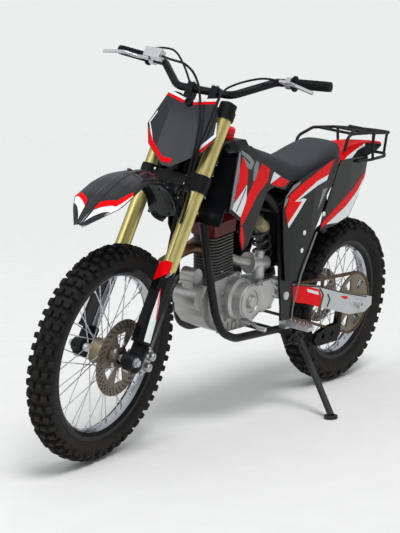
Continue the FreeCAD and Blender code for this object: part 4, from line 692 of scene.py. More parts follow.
# Saddle: places along the bike, each with its half width, low edge and crown
SADDLE_STATIONS = np.array([
    (190, 56, 944, 958), (206, 74, 932, 975), (250, 89, 924, 984), (300, 96, 908, 973), (350, 100, 896, 958),
    (400, 102, 884, 941), (450, 104, 872, 926), (500, 104, 860, 918), (550, 102, 854.5, 925),
    (600, 95, 857, 941), (660, 84, 857, 957), (740, 67, 890.6, 977), (778, 50, 946, 988)], float)
SADDLE_SIDE_POWER = 0.62
SADDLE_CROWN_POWER = 0.55
SADDLE_TUCK = 0.035
SADDLE_ROWS = 90
BLEND_REACH = 16
BLEND_FADE = 20


class BIKE_OT_saddle(bpy.types.Operator):
    """Make the padded saddle"""

    bl_idname = "bike.saddle"
    bl_label = "Saddle"

    def execute(self, context):
        # Across, the skin follows a flattened power curve whose sides pull in towards the base
        places = np.linspace(SADDLE_STATIONS[0, 0], SADDLE_STATIONS[-1, 0], SADDLE_ROWS)
        half, low, high = [smooth_column(SADDLE_STATIONS, k, places)[:, None] for k in (1, 2, 3)]
        angle = np.linspace(0, np.pi, 41)[None, :]
        across = half * np.sign(np.cos(angle)) * np.abs(np.cos(angle)) ** SADDLE_SIDE_POWER
        rise = np.sin(angle) ** SADDLE_CROWN_POWER
        tuck = 1 - SADDLE_TUCK * np.sin(np.clip(rise * np.pi, 0, np.pi))
        crown = low + (high - low) * rise
        top = np.stack([np.broadcast_to(places[:, None], crown.shape), across * tuck, crown], -1)
        base = np.linspace(-1, 1, 13)[None, 1:-1]
        under_x = np.broadcast_to(places[:, None], (SADDLE_ROWS, base.shape[1]))
        under = np.stack([under_x, half * base, low + 0 * base], -1)
        skin = tube_of_rings(np.concatenate([top, under], 1))
        made = piece("saddle_cover", skin, "frame", finishes()["seat_vinyl"], 60, ["seat"])
        return {"FINISHED"}


def smooth_column(stations, column, places):
    """One column of the stations along X, smoothed by averaging neighbouring straight-line values."""
    reach = np.linspace(-BLEND_REACH, BLEND_REACH, 9)
    spread = places[:, None] + reach[None]
    values = np.interp(spread, stations[:, 0], stations[:, column])
    weight = 1 - np.abs(reach) / BLEND_FADE
    smooth = (values * weight).sum(1) / weight.sum()
    from_end = np.minimum(places - stations[0, 0], stations[-1, 0] - places)
    ends = np.clip(from_end / BLEND_FADE, 0, 1)
    return smooth * ends + np.interp(places, stations[:, 0], stations[:, column]) * (1 - ends)


# Graphics: thin plates between two edges on a panel's face
def on_side(strip):
    """The outer face of a side panel: out to the left by the strip's width at each place along the bike."""
    ahead, out = np.array(sorted(strip), float).T

    def face(u, w, lift):
        """A place along the bike and a height, lifted off the side."""
        return np.stack([u, np.interp(u, ahead, out) + lift, w], -1)

    return face


PLATE_ACROSS = (0, 62, 140)
PLATE_AHEAD = (105, 100, 88)


def plate_face(u, w, lift):
    """The bowed number plate: its face falls back from the middle to both sides."""
    return np.stack([np.interp(np.abs(u), PLATE_ACROSS, PLATE_AHEAD) + lift, u, w], -1)


GUARD_WRAP = np.array([(4, 127), (38, 136), (62, 128), (73, 105), (68, 79)], float)


def guard_face(u, w, lift):
    """The fork guard's wrap: a distance round its outline from the rear edge, and a height."""
    length = np.concatenate([[0], np.cumsum(np.linalg.norm(np.diff(GUARD_WRAP, axis=0), axis=1))])
    x = np.interp(u, length, GUARD_WRAP[:, 0])
    y = np.interp(u, length, GUARD_WRAP[:, 1])
    away = np.stack([x - LEG_AHEAD, y - LEG_LEFT], -1)
    away /= np.linalg.norm(away, axis=-1, keepdims=True)
    return np.stack([x + away[..., 0] * lift, y + away[..., 1] * lift, w], -1)


# The front fender: places along it, each with its height, half width and how far its edges fall
FENDER_RIDGE = np.array([
    (442, 300, 13, 5), (412, 372, 60, 18), (388, 418, 86, 26), (335, 488, 86, 30), (290, 526, 72, 30),
    (222, 560, 62, 34), (150, 573, 58, 36), (60, 567, 56, 46), (12, 556, 58, 72), (-40, 536, 56, 62),
    (-78, 508, 50, 26)], float)
FENDER_ACROSS = (0, 0.16, 0.5, 0.8, 0.93, 1)
FENDER_FALL = (0, 0.0, 0.1, 0.36, 0.68, 1)
FENDER_STEP = 3.0
FENDER_WALL = 3.0
FENDER_FLAT = 0.2
FENDER_BLEND = 26
FENDER_TIP_FROM = 390


def fender_face(u, w, lift):
    """The front fender: u is a place along it, w runs across from -1 to 1. The height is the ridge's less a
    share of its fall, read between the values of FENDER_FALL, and the flat middle is raised by a step that
    fades out at the rear."""
    line = FENDER_RIDGE[::-1]
    # The averaging window narrows towards the tip, which stays pointed
    narrowing = np.clip((FENDER_TIP_FROM - u[..., None]) / 80, 0.2, 1)
    window = np.linspace(-FENDER_BLEND, FENDER_BLEND, 9) * narrowing
    height, half, drop = [
        np.interp(u[..., None] + window, line[:, 0], line[:, k]).mean(-1) for k in (1, 2, 3)]
    flat = np.clip((FENDER_FLAT - np.abs(w)) / 0.05, 0, 1)
    raised = flat * np.clip((u + 60) / 60, 0, 1) * FENDER_STEP
    fall = np.interp(np.abs(w), FENDER_ACROSS, FENDER_FALL)
    return np.stack([u, half * w, height - drop * fall + raised + lift], -1)


STRIP_STEPS = 7
STRIP_THICK = 0.6


def strip_between(face, first, second, lift, across=8, thick=STRIP_THICK):
    """A graphic: straight lines between two edges given in the face's own two numbers, carried onto the
    face. Each edge has STRIP_STEPS points to each of its straights."""
    edges = [even_index(np.array(edge, float), (len(edge) - 1) * STRIP_STEPS + 1) for edge in (first, second)]
    count = max(len(edge) for edge in edges)
    edges = [edge if len(edge) == count else even_index(edge, count) for edge in edges]
    share = np.linspace(0, 1, across)[None, :, None]
    flat = edges[0][:, None] * (1 - share) + edges[1][:, None] * share
    return shell(face(flat[..., 0], flat[..., 1], lift), face(flat[..., 0], flat[..., 1], lift - thick))


def even_index(edge, count):
    """An edge with its points at even shares of its numbering."""
    place = np.linspace(0, len(edge) - 1, count)
    return np.stack([np.interp(place, np.arange(len(edge)), edge[:, k]) for k in (0, 1)], -1)


SHROUD = on_side([(580, 116), (640, 124), (760, 136), (860, 146), (940, 153), (1030, 158)])
SIDE_PANEL = on_side([(250, 109), (330, 114), (440, 124), (560, 128), (668, 128)])
TAIL_WALL = on_side([(-60, 60), (30, 74), (130, 86), (260, 98), (300, 101), (360, 104)])
ARM = on_side([(-200, 108), (700, 108)])

# The tail: places along it, each with its half width, low edge and top
TAIL_STATIONS = np.array([
    (-214, 14, 940, 954), (-120, 44, 926, 962), (-20, 62, 912, 966), (80, 76, 904, 962), (182, 83, 904, 940),
    (200, 86, 902, 926), (236, 90, 896, 912)], float)
ROOF_SHARE = 0.72
EDGE_SHARE = 0.28
ROOF_FALL = 3


def tail_skin(u, w, lift):
    """The tail's side: u along the bike and w the height, on the wall and then on the roof's sloping edge."""
    half, low, high = [np.interp(u, TAIL_STATIONS[:, 0], TAIL_STATIONS[:, k]) for k in (1, 2, 3)]
    edge = high - ROOF_FALL
    share = np.clip((w - low) / (edge - low), 0, 1)
    wall = TAIL_WALL(u, w, lift)[..., 1]
    out = np.minimum(wall, half * (1 - EDGE_SHARE * share) + lift)
    return np.stack([u, out, np.minimum(w, edge + lift)], -1)


def tail_roof(u, w, lift):
    """The tail's top: u along the bike, w across from -1 to 1, over the same cross sections as the solid."""
    half, low, high = [np.interp(u, TAIL_STATIONS[:, 0], TAIL_STATIONS[:, k]) for k in (1, 2, 3)]
    size = np.abs(w)
    slope = low + (high - ROOF_FALL - low) * (1 - size) / EDGE_SHARE
    rise = np.where(size < ROOF_SHARE, high - ROOF_FALL * size / ROOF_SHARE, slope)
    return np.stack([u, (half + np.where(size > ROOF_SHARE, lift, 0)) * w, rise + lift], -1)


# How far a graphic stands above its panel, alone, over another graphic, as a line and on the tail's roof
FLAT = 0.8
OVER = 1.2
LINE = 1.4
ROOF = 1.0

GRAPHICS = [
    # name, body, finish, whether both sides have it, and strips of face, first edge, second edge and lift
    ("shroud_red", "frame", "graphic_red", True, [
        (SHROUD, [(957, 971), (974, 900), (988, 817)], [(956, 969), (916, 922), (912, 878)], FLAT),
        (SHROUD, [(826, 938), (868, 884), (904, 834), (936, 764), (932, 742)],
         [(764, 914), (772, 874), (833, 836), (897, 763), (925, 735)], FLAT),
        (SHROUD, [(932, 738), (926, 692), (908, 654)], [(915, 728), (900, 690), (902, 656)], FLAT),
        (SHROUD, [(681, 882), (616, 862)], [(752, 861), (655, 843)], FLAT)]),
    ("shroud_white", "frame", "graphic_white", True, [
        (SHROUD, [(987, 813), (994, 797), (941, 768)], [(914, 872), (908, 818), (938, 766)], FLAT),
        (SHROUD, [(734, 903), (683, 884)], [(753, 865), (751, 863)], FLAT)]),
    ("shroud_grey", "frame", "graphic_grey", True, [
        (SHROUD, [(980, 984), (994, 890), (1006, 799)], [(972, 986), (967, 890), (991, 795)], FLAT),
        (SHROUD, [(968, 990), (913, 968), (878, 946)], [(966, 978), (924, 930), (894, 920)], FLAT),
        (SHROUD, [(864, 950), (879, 928), (877, 884)], [(845, 941), (849, 911), (866, 880)], FLAT)]),
    ("shroud_lines", "frame", "graphic_black", True, [
        (SHROUD, [(921, 862), (969, 788)], [(917, 859), (965, 786)], LINE),
        (SHROUD, [(960, 975), (905, 945)], [(958, 970), (909, 941)], LINE)]),
    ("side_panel_red", "frame", "graphic_red", True, [
        (SIDE_PANEL, [(612, 813), (548, 843), (430, 887), (309, 924)],
         [(573, 788), (520, 812), (432, 850), (344, 868)], FLAT),
        (SIDE_PANEL, [(612, 813), (614, 793), (631, 760), (609, 712)],
         [(573, 788), (572, 787), (526, 784), (607, 711)], FLAT)]),
    ("side_panel_white", "frame", "graphic_white", True, [
        (SIDE_PANEL, [(344, 868), (432, 850), (520, 812), (573, 788)],
         [(354, 848), (429, 833), (513, 804), (569, 785)], FLAT),
        (SIDE_PANEL, [(571, 787), (526, 784), (607, 711)], [(517, 795), (496, 790), (599, 694)], FLAT)]),
    ("side_panel_grey", "frame", "graphic_grey", True, [
        (SIDE_PANEL, [(636, 808), (594, 846), (553, 858)], [(632, 806), (612, 820), (551, 850)], FLAT),
        (SIDE_PANEL, [(643, 768), (638, 800)], [(621, 790), (619, 806)], FLAT),
        (SIDE_PANEL, [(404, 744), (376, 816)], [(389, 757), (341, 819)], FLAT)]),
    ("tail_red", "frame", "graphic_red", True, [
        (TAIL_WALL, [(8, 848), (94, 794), (240, 730), (336, 684)],
         [(-8, 840), (60, 780), (150, 732), (340, 664)], FLAT),
        (tail_skin, [(236, 905), (182, 937), (80, 959), (-20, 963)],
         [(236, 893), (139, 923), (67, 943), (-20, 960)], FLAT),
        (tail_roof, [(-210, 0.02), (-20, 0.02), (200, 0.02), (232, 0.02)],
         [(-210, 0.8), (-20, 0.72), (200, 0.72), (232, 0.72)], ROOF)]),
    ("tail_white", "frame", "graphic_white", True, [
        (TAIL_WALL, [(-10, 838), (58, 778), (148, 730), (300, 676)],
         [(-10, 826), (42, 766), (112, 691), (205, 673)], FLAT),
        (tail_skin, [(294, 877), (236, 893), (139, 923), (67, 943), (-20, 960)],
         [(316, 846), (225, 868), (130, 908), (58, 938), (-16, 950)], FLAT)]),
    ("arm_red", "frame", "graphic_red", True, [
        (ARM, [(545, 464), (480, 468), (400, 454), (312, 430), (292, 404)],
         [(545, 420), (470, 402), (400, 388), (300, 360), (286, 372)], FLAT),
        (ARM, [(146, 382), (96, 374)], [(120, 366), (84, 364)], FLAT)]),
    ("arm_black", "frame", "graphic_black", True, [
        (ARM, [(312, 434), (284, 404), (298, 357)], [(303, 434), (273, 404), (288, 354)], OVER),
        (ARM, [(566, 464), (480, 470), (300, 440), (120, 392), (-60, 352)],
         [(566, 460), (480, 465), (300, 435), (120, 388), (-60, 348)], FLAT),
        (ARM, [(250, 404), (230, 380), (244, 352)], [(242, 404), (220, 380), (236, 352)], FLAT)]),
    ("arm_white", "frame", "graphic_white", True, [
        (ARM, [(400, 444), (318, 422)], [(394, 432), (310, 408)], OVER)]),
    ("plate_white", "steering", "graphic_white", False, [
        (plate_face, [(13, 854), (90, 875.5)], [(15, 846), (92, 866)], FLAT),
        (plate_face, [(-13, 854), (-90, 875.5)], [(-15, 846), (-92, 866)], FLAT),
        (plate_face, [(116, 799), (130, 753), (92, 697)], [(114, 797), (121, 757), (86, 706)], FLAT),
        (plate_face, [(-109, 799), (-126, 757), (-106, 725), (-83, 693)],
         [(-106, 794), (-121, 756), (-101, 726), (-82, 694)], FLAT)]),
    ("plate_red", "steering", "graphic_red", False, [
        (plate_face, [(15, 846), (92, 866)], [(19, 837), (93, 857)], FLAT),
        (plate_face, [(-15, 846), (-92, 866)], [(-19, 837), (-93, 857)], FLAT),
        (plate_face, [(126, 740), (100, 690)], [(117, 730), (92, 696)], FLAT),
        (plate_face, [(-122, 740), (-92, 681), (-20, 632), (12, 632)],
         [(-112, 730), (-76, 690), (-24, 649), (12, 649)], FLAT)]),
    ("fender_white", "steering", "graphic_white", False, [
        (fender_face, [(436, 0.42), (404, 0.98), (350, 0.98)], [(417, 0.3), (395, 0.9), (348, 0.97)], FLAT),
        (fender_face, [(434, -0.5), (404, -0.98), (392, -0.98)],
         [(415, -0.35), (400, -0.75), (393, -0.9)], FLAT)]),
    ("fender_red", "steering", "graphic_red", False, [
        (fender_face, [(416, 0.27), (395, 0.9), (348, 0.97)], [(402, 0.22), (386, 0.74), (345, 0.9)], FLAT),
        (fender_face, [(415, -0.35), (400, -0.75), (390, -0.95)],
         [(402, -0.4), (392, -0.66), (386, -0.8)], FLAT)]),
    ("guard_red", "steering", "graphic_red", True, [
        (guard_face, [(110, 322), (86, 333), (66, 333)], [(110, 262), (84, 280), (63, 298)], FLAT),
        (guard_face, [(74, 244), (66, 196), (54, 150)], [(71, 240), (62, 192), (47, 140)], OVER)]),
    ("guard_white", "steering", "graphic_white", True, [
        (guard_face, [(73, 238), (72, 150), (66, 70)], [(71, 236), (50, 150), (41, 72)], FLAT)]),
]


class BIKE_OT_graphics(bpy.types.Operator):
    """Make the red, white and grey graphics of the panels"""

    bl_idname = "bike.graphics"
    bl_label = "Graphics"

    def execute(self, context):
        made = finishes()
        extra = sizes().sticker_lift / MM - STRIP_THICK
        for name, body, surface, paired, strips in GRAPHICS:
            whole = joined([
                strip_between(face, first, second, lift + extra) for face, first, second, lift in strips])
            piece(name, both(whole) if paired else whole, body, made[surface], 40)
        return {"FINISHED"}


class BIKE_OT_front_fender(bpy.types.Operator):
    """Make the arched front fender with its raised middle"""

    bl_idname = "bike.front_fender"
    bl_label = "Front fender"

    def execute(self, context):
        tip, rear = FENDER_RIDGE[0, 0], FENDER_RIDGE[-1, 0]
        u, w = np.meshgrid(np.linspace(tip, rear, 150), np.linspace(-1, 1, 61), indexing="ij")
        skin = sheet(fender_face(u, w, 0), -FENDER_WALL)
        pins = repeated(turned([(0, 8), (22, 8), (22, 0.5)], 12), [
            pointing((0, 0, 1), (ahead, left, 553))
            for ahead, left in ((4, 24), (4, -24), (44, 34), (44, -34))])
        screws = repeated(turned([(-2, 9), (2, 9), (4, 6), (4, 3), (2, 3), (2, 0.5)], 18), [
            pointing((0.1, 0, 1), (ahead, left, fender_height(ahead, left / half)))
            for ahead, left, half in ((262, 14, 68), (262, -14, 68), (240, 32, 64), (240, -32, 64))])
        piece("fender_skin", joined([skin, pins, screws]), "steering", finishes()["fender_black"], 42,
              ["front_fender"])
        return {"FINISHED"}


def fender_height(u, w):
    """The height of the fender's skin at one place."""
    return float(fender_face(np.array([float(u)]), np.array([float(w)]), 0)[0, 2])


# Fork and discs
FRONT_DISC_LEFT = 60
DRILLINGS = {
    # the disc's two faces along the axle, just proud of the solid, and the radii of its rings of holes
    "front": ((62.1, 57.9), (118, 110, 101.5)),
    "rear": ((-64.1, -67.9), (104, 96, 88)),
}
DRILLINGS_ROUND = 36
BUTTON_RADIUS = 44


def hex_bolt(size, height):
    """A bolt head: six flats with a small crown."""
    return turned([(0, size), (height * 0.8, size), (height, size * 0.82), (height, 0.4)], 6)


class BIKE_OT_fork_feet(bpy.types.Operator):
    """Make the bright fork tubes, their black castings and the silver caliper"""

    bl_idname = "bike.fork_feet"
    bl_label = "Fork feet"

    def execute(self, context):
        made = finishes()
        tube = turned([(24, 0.5), (24, 21.5), (476, 21.5), (476, 0.5)], 48)
        tube = repeated(tube, [pointing((0, 0, 1), (LEG_AHEAD, LEG_LEFT, 0))])
        piece("slider_tubes", both(tube), "steering", made["polished_steel"], 40, ["fork_sliders"])
        cup = turned([(-30, 0.5), (-30, 16), (-24, 22), (-10, 26.5), (64, 26.5), (70, 25.5), (73, 22),
                      (73, 0.5)], 40)
        boss = turned([(-21, 0.5), (-21, 20), (-18, 24), (15, 24), (19, 21.5), (19, 0.5)], 40)
        foot = joined([
            repeated(cup, [pointing((0, 0, 1), (LEG_AHEAD, LEG_LEFT, 0))]),
            repeated(boss, [pointing((0, 1, 0), (60, LEG_LEFT, 0))]),
            chamfered((LEG_AHEAD, LEG_LEFT - 15, -20), (62, LEG_LEFT + 14, 20), 5),
            chamfered((44, LEG_LEFT - 12, -31), (74, LEG_LEFT + 11, -14), 4),
            chamfered((LEG_AHEAD - 14, LEG_LEFT + 8, 26), (LEG_AHEAD + 14, LEG_LEFT + 30, 60), 5),
        ])
        piece("fork_feet", both(foot), "steering", made["foot_black"], 35)
        head = hex_bolt(5.6, 6)
        below = [(52, LEG_LEFT - 3, -31), (67, LEG_LEFT - 3, -31)]
        beside = [(LEG_AHEAD - 4, LEG_LEFT + 30, 34), (LEG_AHEAD - 4, LEG_LEFT + 30, 52)]
        heads = joined([
            repeated(head, [pointing((0, 0, -1), at) for at in below]),
            repeated(head, [pointing((0, 1, 0), at) for at in beside]),
            repeated(hex_bolt(12, 9), [pointing((0, 1, 0), (60, 124.3, 0))]),
        ])
        piece("foot_bolts", both(heads), "steering", made["bright_silver"], 30)
        disc = FRONT_DISC_LEFT
        barrel = turned([(0, 15), (20, 15), (25, 12.5), (25, 9), (22, 8), (22, 0.5)], 32)
        pins = [pointing((0, 0, 1), (-44, disc + 22, 64)), pointing((0, 0, -1), (-60, disc + 22, -12))]
        caliper = joined([
            chamfered((-76, disc + 3.5, -14), (-28, disc + 34, 66), 7),
            chamfered((-68, disc - 22, -14), (-26, disc - 3.5, 66), 6),
            chamfered((-80, disc - 20, -6), (-64, disc + 30, 58), 6),
            repeated(barrel, [pointing((0, 1, 0), (-52, disc + 26, z)) for z in (6, 42)]),
            repeated(hex_bolt(7, 12), pins),
            chamfered((-34, disc + 13, -6), (2, disc + 27, 28), 4),
            chamfered((-56, disc - 16, 62), (-38, disc + 20, 70), 3),
        ])
        piece("caliper_body", caliper, "steering", made["bright_silver"], 30, ["front_caliper"])
        return {"FINISHED"}


class BIKE_OT_disc_details(bpy.types.Operator):
    """Make the dark drill marks of both discs and the buttons that hold the front one"""

    bl_idname = "bike.disc_details"
    bl_label = "Disc details"

    def execute(self, context):
        made = finishes()
        mark = turned([(-0.1, 0.3), (-0.1, 3.3), (0.25, 3.3), (0.25, 0.3)], 10)
        steps = np.arange(DRILLINGS_ROUND)
        for name, (faces, radii) in DRILLINGS.items():
            spots = []
            for face, way in zip(faces, (1, -1)):
                for row, radius in enumerate(radii):
                    for turn in (steps + row / 3) * math.radians(360 / DRILLINGS_ROUND):
                        at = (radius * math.cos(turn), face, radius * math.sin(turn))
                        spots.append(pointing((0, way, 0), at))
            piece(name + "_drillings", repeated(mark, spots), name + "_wheel", made["airbox_black"], 40)
        button = turned([(-1, 8), (2.5, 8), (3.5, 6.5), (3.5, 0.5)], 16)
        turns = math.radians(60) * np.arange(6) + 0.3
        spots = [pointing((0, 1, 0), (BUTTON_RADIUS * math.cos(turn), 62, BUTTON_RADIUS * math.sin(turn)))
                 for turn in turns]
        piece("disc_buttons", repeated(button, spots), "front_wheel", made["bright_silver"], 40)
        return {"FINISHED"}


# Heights of the two clamps' ridged bands on the fork's legs
CLAMP_BANDS = ((575, 632), (832, 862))
RIDGE_PITCH = 5.2


class BIKE_OT_clamp_details(bpy.types.Operator):
    """Make the ridges and bolts of the fork clamps and the bar clamp's caps"""

    bl_idname = "bike.clamp_details"
    bl_label = "Clamp details"

    def execute(self, context):
        made = finishes()
        ridge = spun([(-1.3, 31.0), (-0.8, 32.4), (0.8, 32.4), (1.3, 31.0)], 48, "z")
        rings = []
        for low, high in CLAMP_BANDS:
            for at in np.arange(low + 5, high - 4, RIDGE_PITCH):
                rings.append(repeated(ridge, [(np.eye(3), (LEG_AHEAD, LEG_LEFT, at))]))
        cap = turned([(886, 0.5), (886, 18), (889, 18), (892, 14), (892, 0.5)], 32)
        rings.append(repeated(cap, [(np.eye(3), (LEG_AHEAD, LEG_LEFT, 0))]))
        piece("clamp_ridges", both(joined(rings)), "steering", made["clamp_black"], 40)
        heads = [pointing((1, 0, 0), (55, 62, z)) for z in (590, 617, 847)]
        caps = [pointing((0, 0, 1), (x, 45 + y, 927.5)) for x in (30, 58) for y in (-8, 8)]
        bolts = joined([repeated(hex_bolt(5, 6), heads), repeated(hex_bolt(4.2, 5), caps)])
        piece("clamp_bolts", both(bolts), "steering", made["bright_silver"], 30)
        return {"FINISHED"}


class BIKE_OT_plate_knob(bpy.types.Operator):
    """Make the round knob in the number plate's notch"""

    bl_idname = "bike.plate_knob"
    bl_label = "Plate knob"

    def execute(self, context):
        knob = turned([(-6, 13), (6, 14.5), (9, 13.5), (9, 9), (4, 7), (4, 0.5)], 40)
        place = repeated(knob, [pointing((1, 0, 0.05), (104, 0, 843))])
        piece("plate_knob", place, "steering", finishes()["grip_rubber"], 40)
        return {"FINISHED"}


# Bars: the left grip runs from the bar's end to its inner end
BAR_END = np.array([-4, 405, 1017], float)
BAR_INNER = np.array([-8, 215, 1002], float)
GRIP_LENGTH = 122
GRIP_RADIUS = 15.8
RIB_PITCH = 5.2
RIB_HEIGHT = 0.7


class BIKE_OT_grips(bpy.types.Operator):
    """Make the ribbed grips"""

    bl_idname = "bike.grips"
    bl_label = "Grips"

    def execute(self, context):
        # The radius along a grip is a bar's wall plus a fine wave, with a flange at its inner end.
        along = np.linspace(0, GRIP_LENGTH, 184)
        wave = RIB_HEIGHT * np.sign(np.sin(along * 2 * np.pi / RIB_PITCH)) * np.clip((along - 8) / 3, 0, 1)
        radius = GRIP_RADIUS + wave * (along < GRIP_LENGTH - 10)
        flange = [(GRIP_LENGTH + 0.5, 25.5), (GRIP_LENGTH + 6, 25.5), (GRIP_LENGTH + 6, 12)]
        grip = turned(np.concatenate([[(0, 10.0)], np.stack([along, radius], -1), flange]), 36)
        left = repeated(grip, [pointing(BAR_INNER - BAR_END, BAR_END)])
        piece("grip_ribs", both(left), "steering", finishes()["grip_rubber"], 35, ["grips"])
        return {"FINISHED"}


# Engine: places along and up the bike, in millimetres
COVER_AT = (795, 455)
COVER_CIRCLE = 84
CASE_BOLTS = [
    (612, 446), (606, 474), (632, 502), (696, 500), (728, 414), (690, 403), (636, 409),
    (690, 540), (740, 552), (860, 552), (905, 530), (900, 380), (860, 366), (720, 366)]
RIB_PLACES = np.arange(664, 960, 26.0)
RIB_MIDDLE = 352
# A face nearer to the middle plane than this is a gap between the castings
LEAST_LEFT = 20


def left_face(nodes, spots):
    """Where straight lines from the bike's left, at places along and up the bike, meet the given solids."""
    trees = []
    for name in nodes:
        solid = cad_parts[name]
        corners = [BIKE.inverted() @ (solid.matrix_world @ vertex.co) for vertex in solid.data.vertices]
        trees.append(BVHTree.FromPolygons(corners, [list(face.vertices) for face in solid.data.polygons]))
    found = []
    for x, z in spots:
        hits = [tree.ray_cast(Vector((x * MM, 0.5, z * MM)), Vector((0, -1, 0)))[0] for tree in trees]
        found.append(max([hit.y / MM for hit in hits if hit] or [0]))
    return found


class BIKE_OT_engine_details(bpy.types.Operator):
    """Make the bolts, bosses and ribs of the engine's covers"""

    bl_idname = "bike.engine_details"
    bl_label = "Engine details"

    def execute(self, context):
        made = finishes()
        solids = ["engine_case", "engine_covers", "cylinder"]
        turns = np.radians(np.arange(20, 380, 40))
        spots = [(COVER_AT[0] + COVER_CIRCLE * math.cos(t), COVER_AT[1] + COVER_CIRCLE * math.sin(t))
                 for t in turns] + CASE_BOLTS
        found = [(x, y, z) for (x, z), y in zip(spots, left_face(solids, spots)) if y > LEAST_LEFT]
        boss = turned([(-8, 0.5), (-8, 8.5), (3, 7.5), (3, 0.5)], 20)
        seats = [pointing((0, 1, 0), (x, y, z)) for x, y, z in found]
        heads = [pointing((0, 1, 0), (x, y + 3, z)) for x, y, z in found]
        rim = spun([(-2, 50), (2.5, 51), (2.5, 57), (-2, 58)], 72)
        cap = spun([(-3, 0.5), (4, 0.5), (4, 17), (2.4, 19), (-3, 19)], 48)
        groove = spun([(-3, 24), (3, 24.5), (3, 27), (-3, 27.5)], 60)
        middle = left_face(solids, [(COVER_AT[0] + out, COVER_AT[1]) for out in (54, 0, 26)])
        rounds = [repeated(part, [(np.eye(3), (COVER_AT[0], y, COVER_AT[1]))])
                  for part, y in zip((rim, cap, groove), middle)]
        ribs = []
        for x in RIB_PLACES:
            y = left_face(solids, [(x, RIB_MIDDLE)])[0]
            if y > LEAST_LEFT:
                low = (x - 2.5, y - 10, RIB_MIDDLE - 14)
                ribs.append(chamfered(low, (x + 2.5, y + 4, RIB_MIDDLE + 20), 1.5))
        cast = joined([repeated(boss, seats), *rounds, *ribs])
        piece("cover_bosses", cast, "frame", made["cast_silver"], 35)
        piece("cover_bolts", repeated(hex_bolt(5.2, 5), heads), "frame", made["bright_silver"], 30)
        return {"FINISHED"}


class BIKE_OT_panel_details(bpy.types.Operator):
    """Make the dark plate behind the gap of the side panel and tail, a painted shadow of the panels in that
    gap, and the panels' bolts
    """

    bl_idname = "bike.panel_details"
    bl_label = "Panel details"

    def execute(self, context):
        made = finishes()
        # A dark plate inside the gap between side panel and tail: painted shadow where the panels shade the
        # gap
        gap_shadow = strip_between(TAIL_WALL, [(430, 880), (300, 700), (300, 640)],
                                [(330, 880), (262, 700), (262, 640)], -14, 8, 2)
        piece("seam_painted_shadow", both(gap_shadow), "frame", made["airbox_black"], 40)
        oval = turned([(-3, 9), (1.5, 9), (3, 6), (3, 0.5)], 20)
        places = []
        for x, z in ((348, 722), (486, 666), (492, 602)):
            y = float(SIDE_PANEL(np.array(float(x)), np.array(float(z)), 0)[1])
            places.append(pointing((0, 1, 0), (x, y, z)))
        piece("panel_studs", both(repeated(oval, places)), "frame", made["graphic_white"], 40)
        return {"FINISHED"}


# Drive: the chain's plane and both sprockets, in millimetres along and up the bike
CHAIN_PITCH = 15.875
CHAIN_LEFT = 78.0
SPROCKETS = {
    # middle and number of teeth
    "rear": ((0, 330.0), 48),
    "front": ((655, 430.0), 13),
}
PLATE_THICK = 1.2
OUTER_PLATES = 5.2
INNER_PLATES = 3.9


def pitch_radius(teeth):
    """Half the chain's pitch over the sine of half a tooth's turn."""
    return CHAIN_PITCH / 2 / math.sin(math.pi / teeth)


def arc(middle, radius, first, last, count):
    """Points on a circle from one angle to another."""
    turns = np.linspace(first, last, count)
    return middle + radius * np.stack([np.cos(turns), np.sin(turns)], -1)


def chain_pins():
    """The pins, one pitch apart on a loop of two arcs joined by the sprockets' outer tangents. The tangents
    touch where the angle to the line between the middles has the cosine (difference of radii) / distance."""
    rear, front = [np.array(SPROCKETS[name][0], float) for name in ("rear", "front")]
    big, small = [pitch_radius(SPROCKETS[name][1]) for name in ("rear", "front")]
    gap = front - rear
    tilt = math.atan2(gap[1], gap[0])
    lean = math.acos((big - small) / np.hypot(*gap))
    back = arc(rear, big, tilt + lean, tilt - lean + 2 * np.pi, 120)
    nose = arc(front, small, tilt - lean, tilt + lean, 40)
    loop = np.concatenate([back, nose, back[:1]])
    length = np.linalg.norm(np.diff(loop, axis=0), axis=1).sum()
    return even_line(loop, int(round(length / CHAIN_PITCH / 2)) * 2 + 1)


def stacked_plates(first, second):
    """Flat plates between pairs of rings: a fan on each face and a wall between them."""
    count, around = first.shape[:2]
    points = np.concatenate([first, second], 1).reshape(-1, 3)
    start = (np.arange(count) * around * 2)[:, None, None]
    here = np.arange(around)
    after = np.roll(here, -1)
    wall = (np.stack([here, after, after + around, here + around], -1)[None] + start).reshape(-1, 4)
    face = np.concatenate([here[None, ::-1], here[None] + around])
    caps = (face[None] + start).reshape(-1, around)
    return outward((points, [wall, caps]))


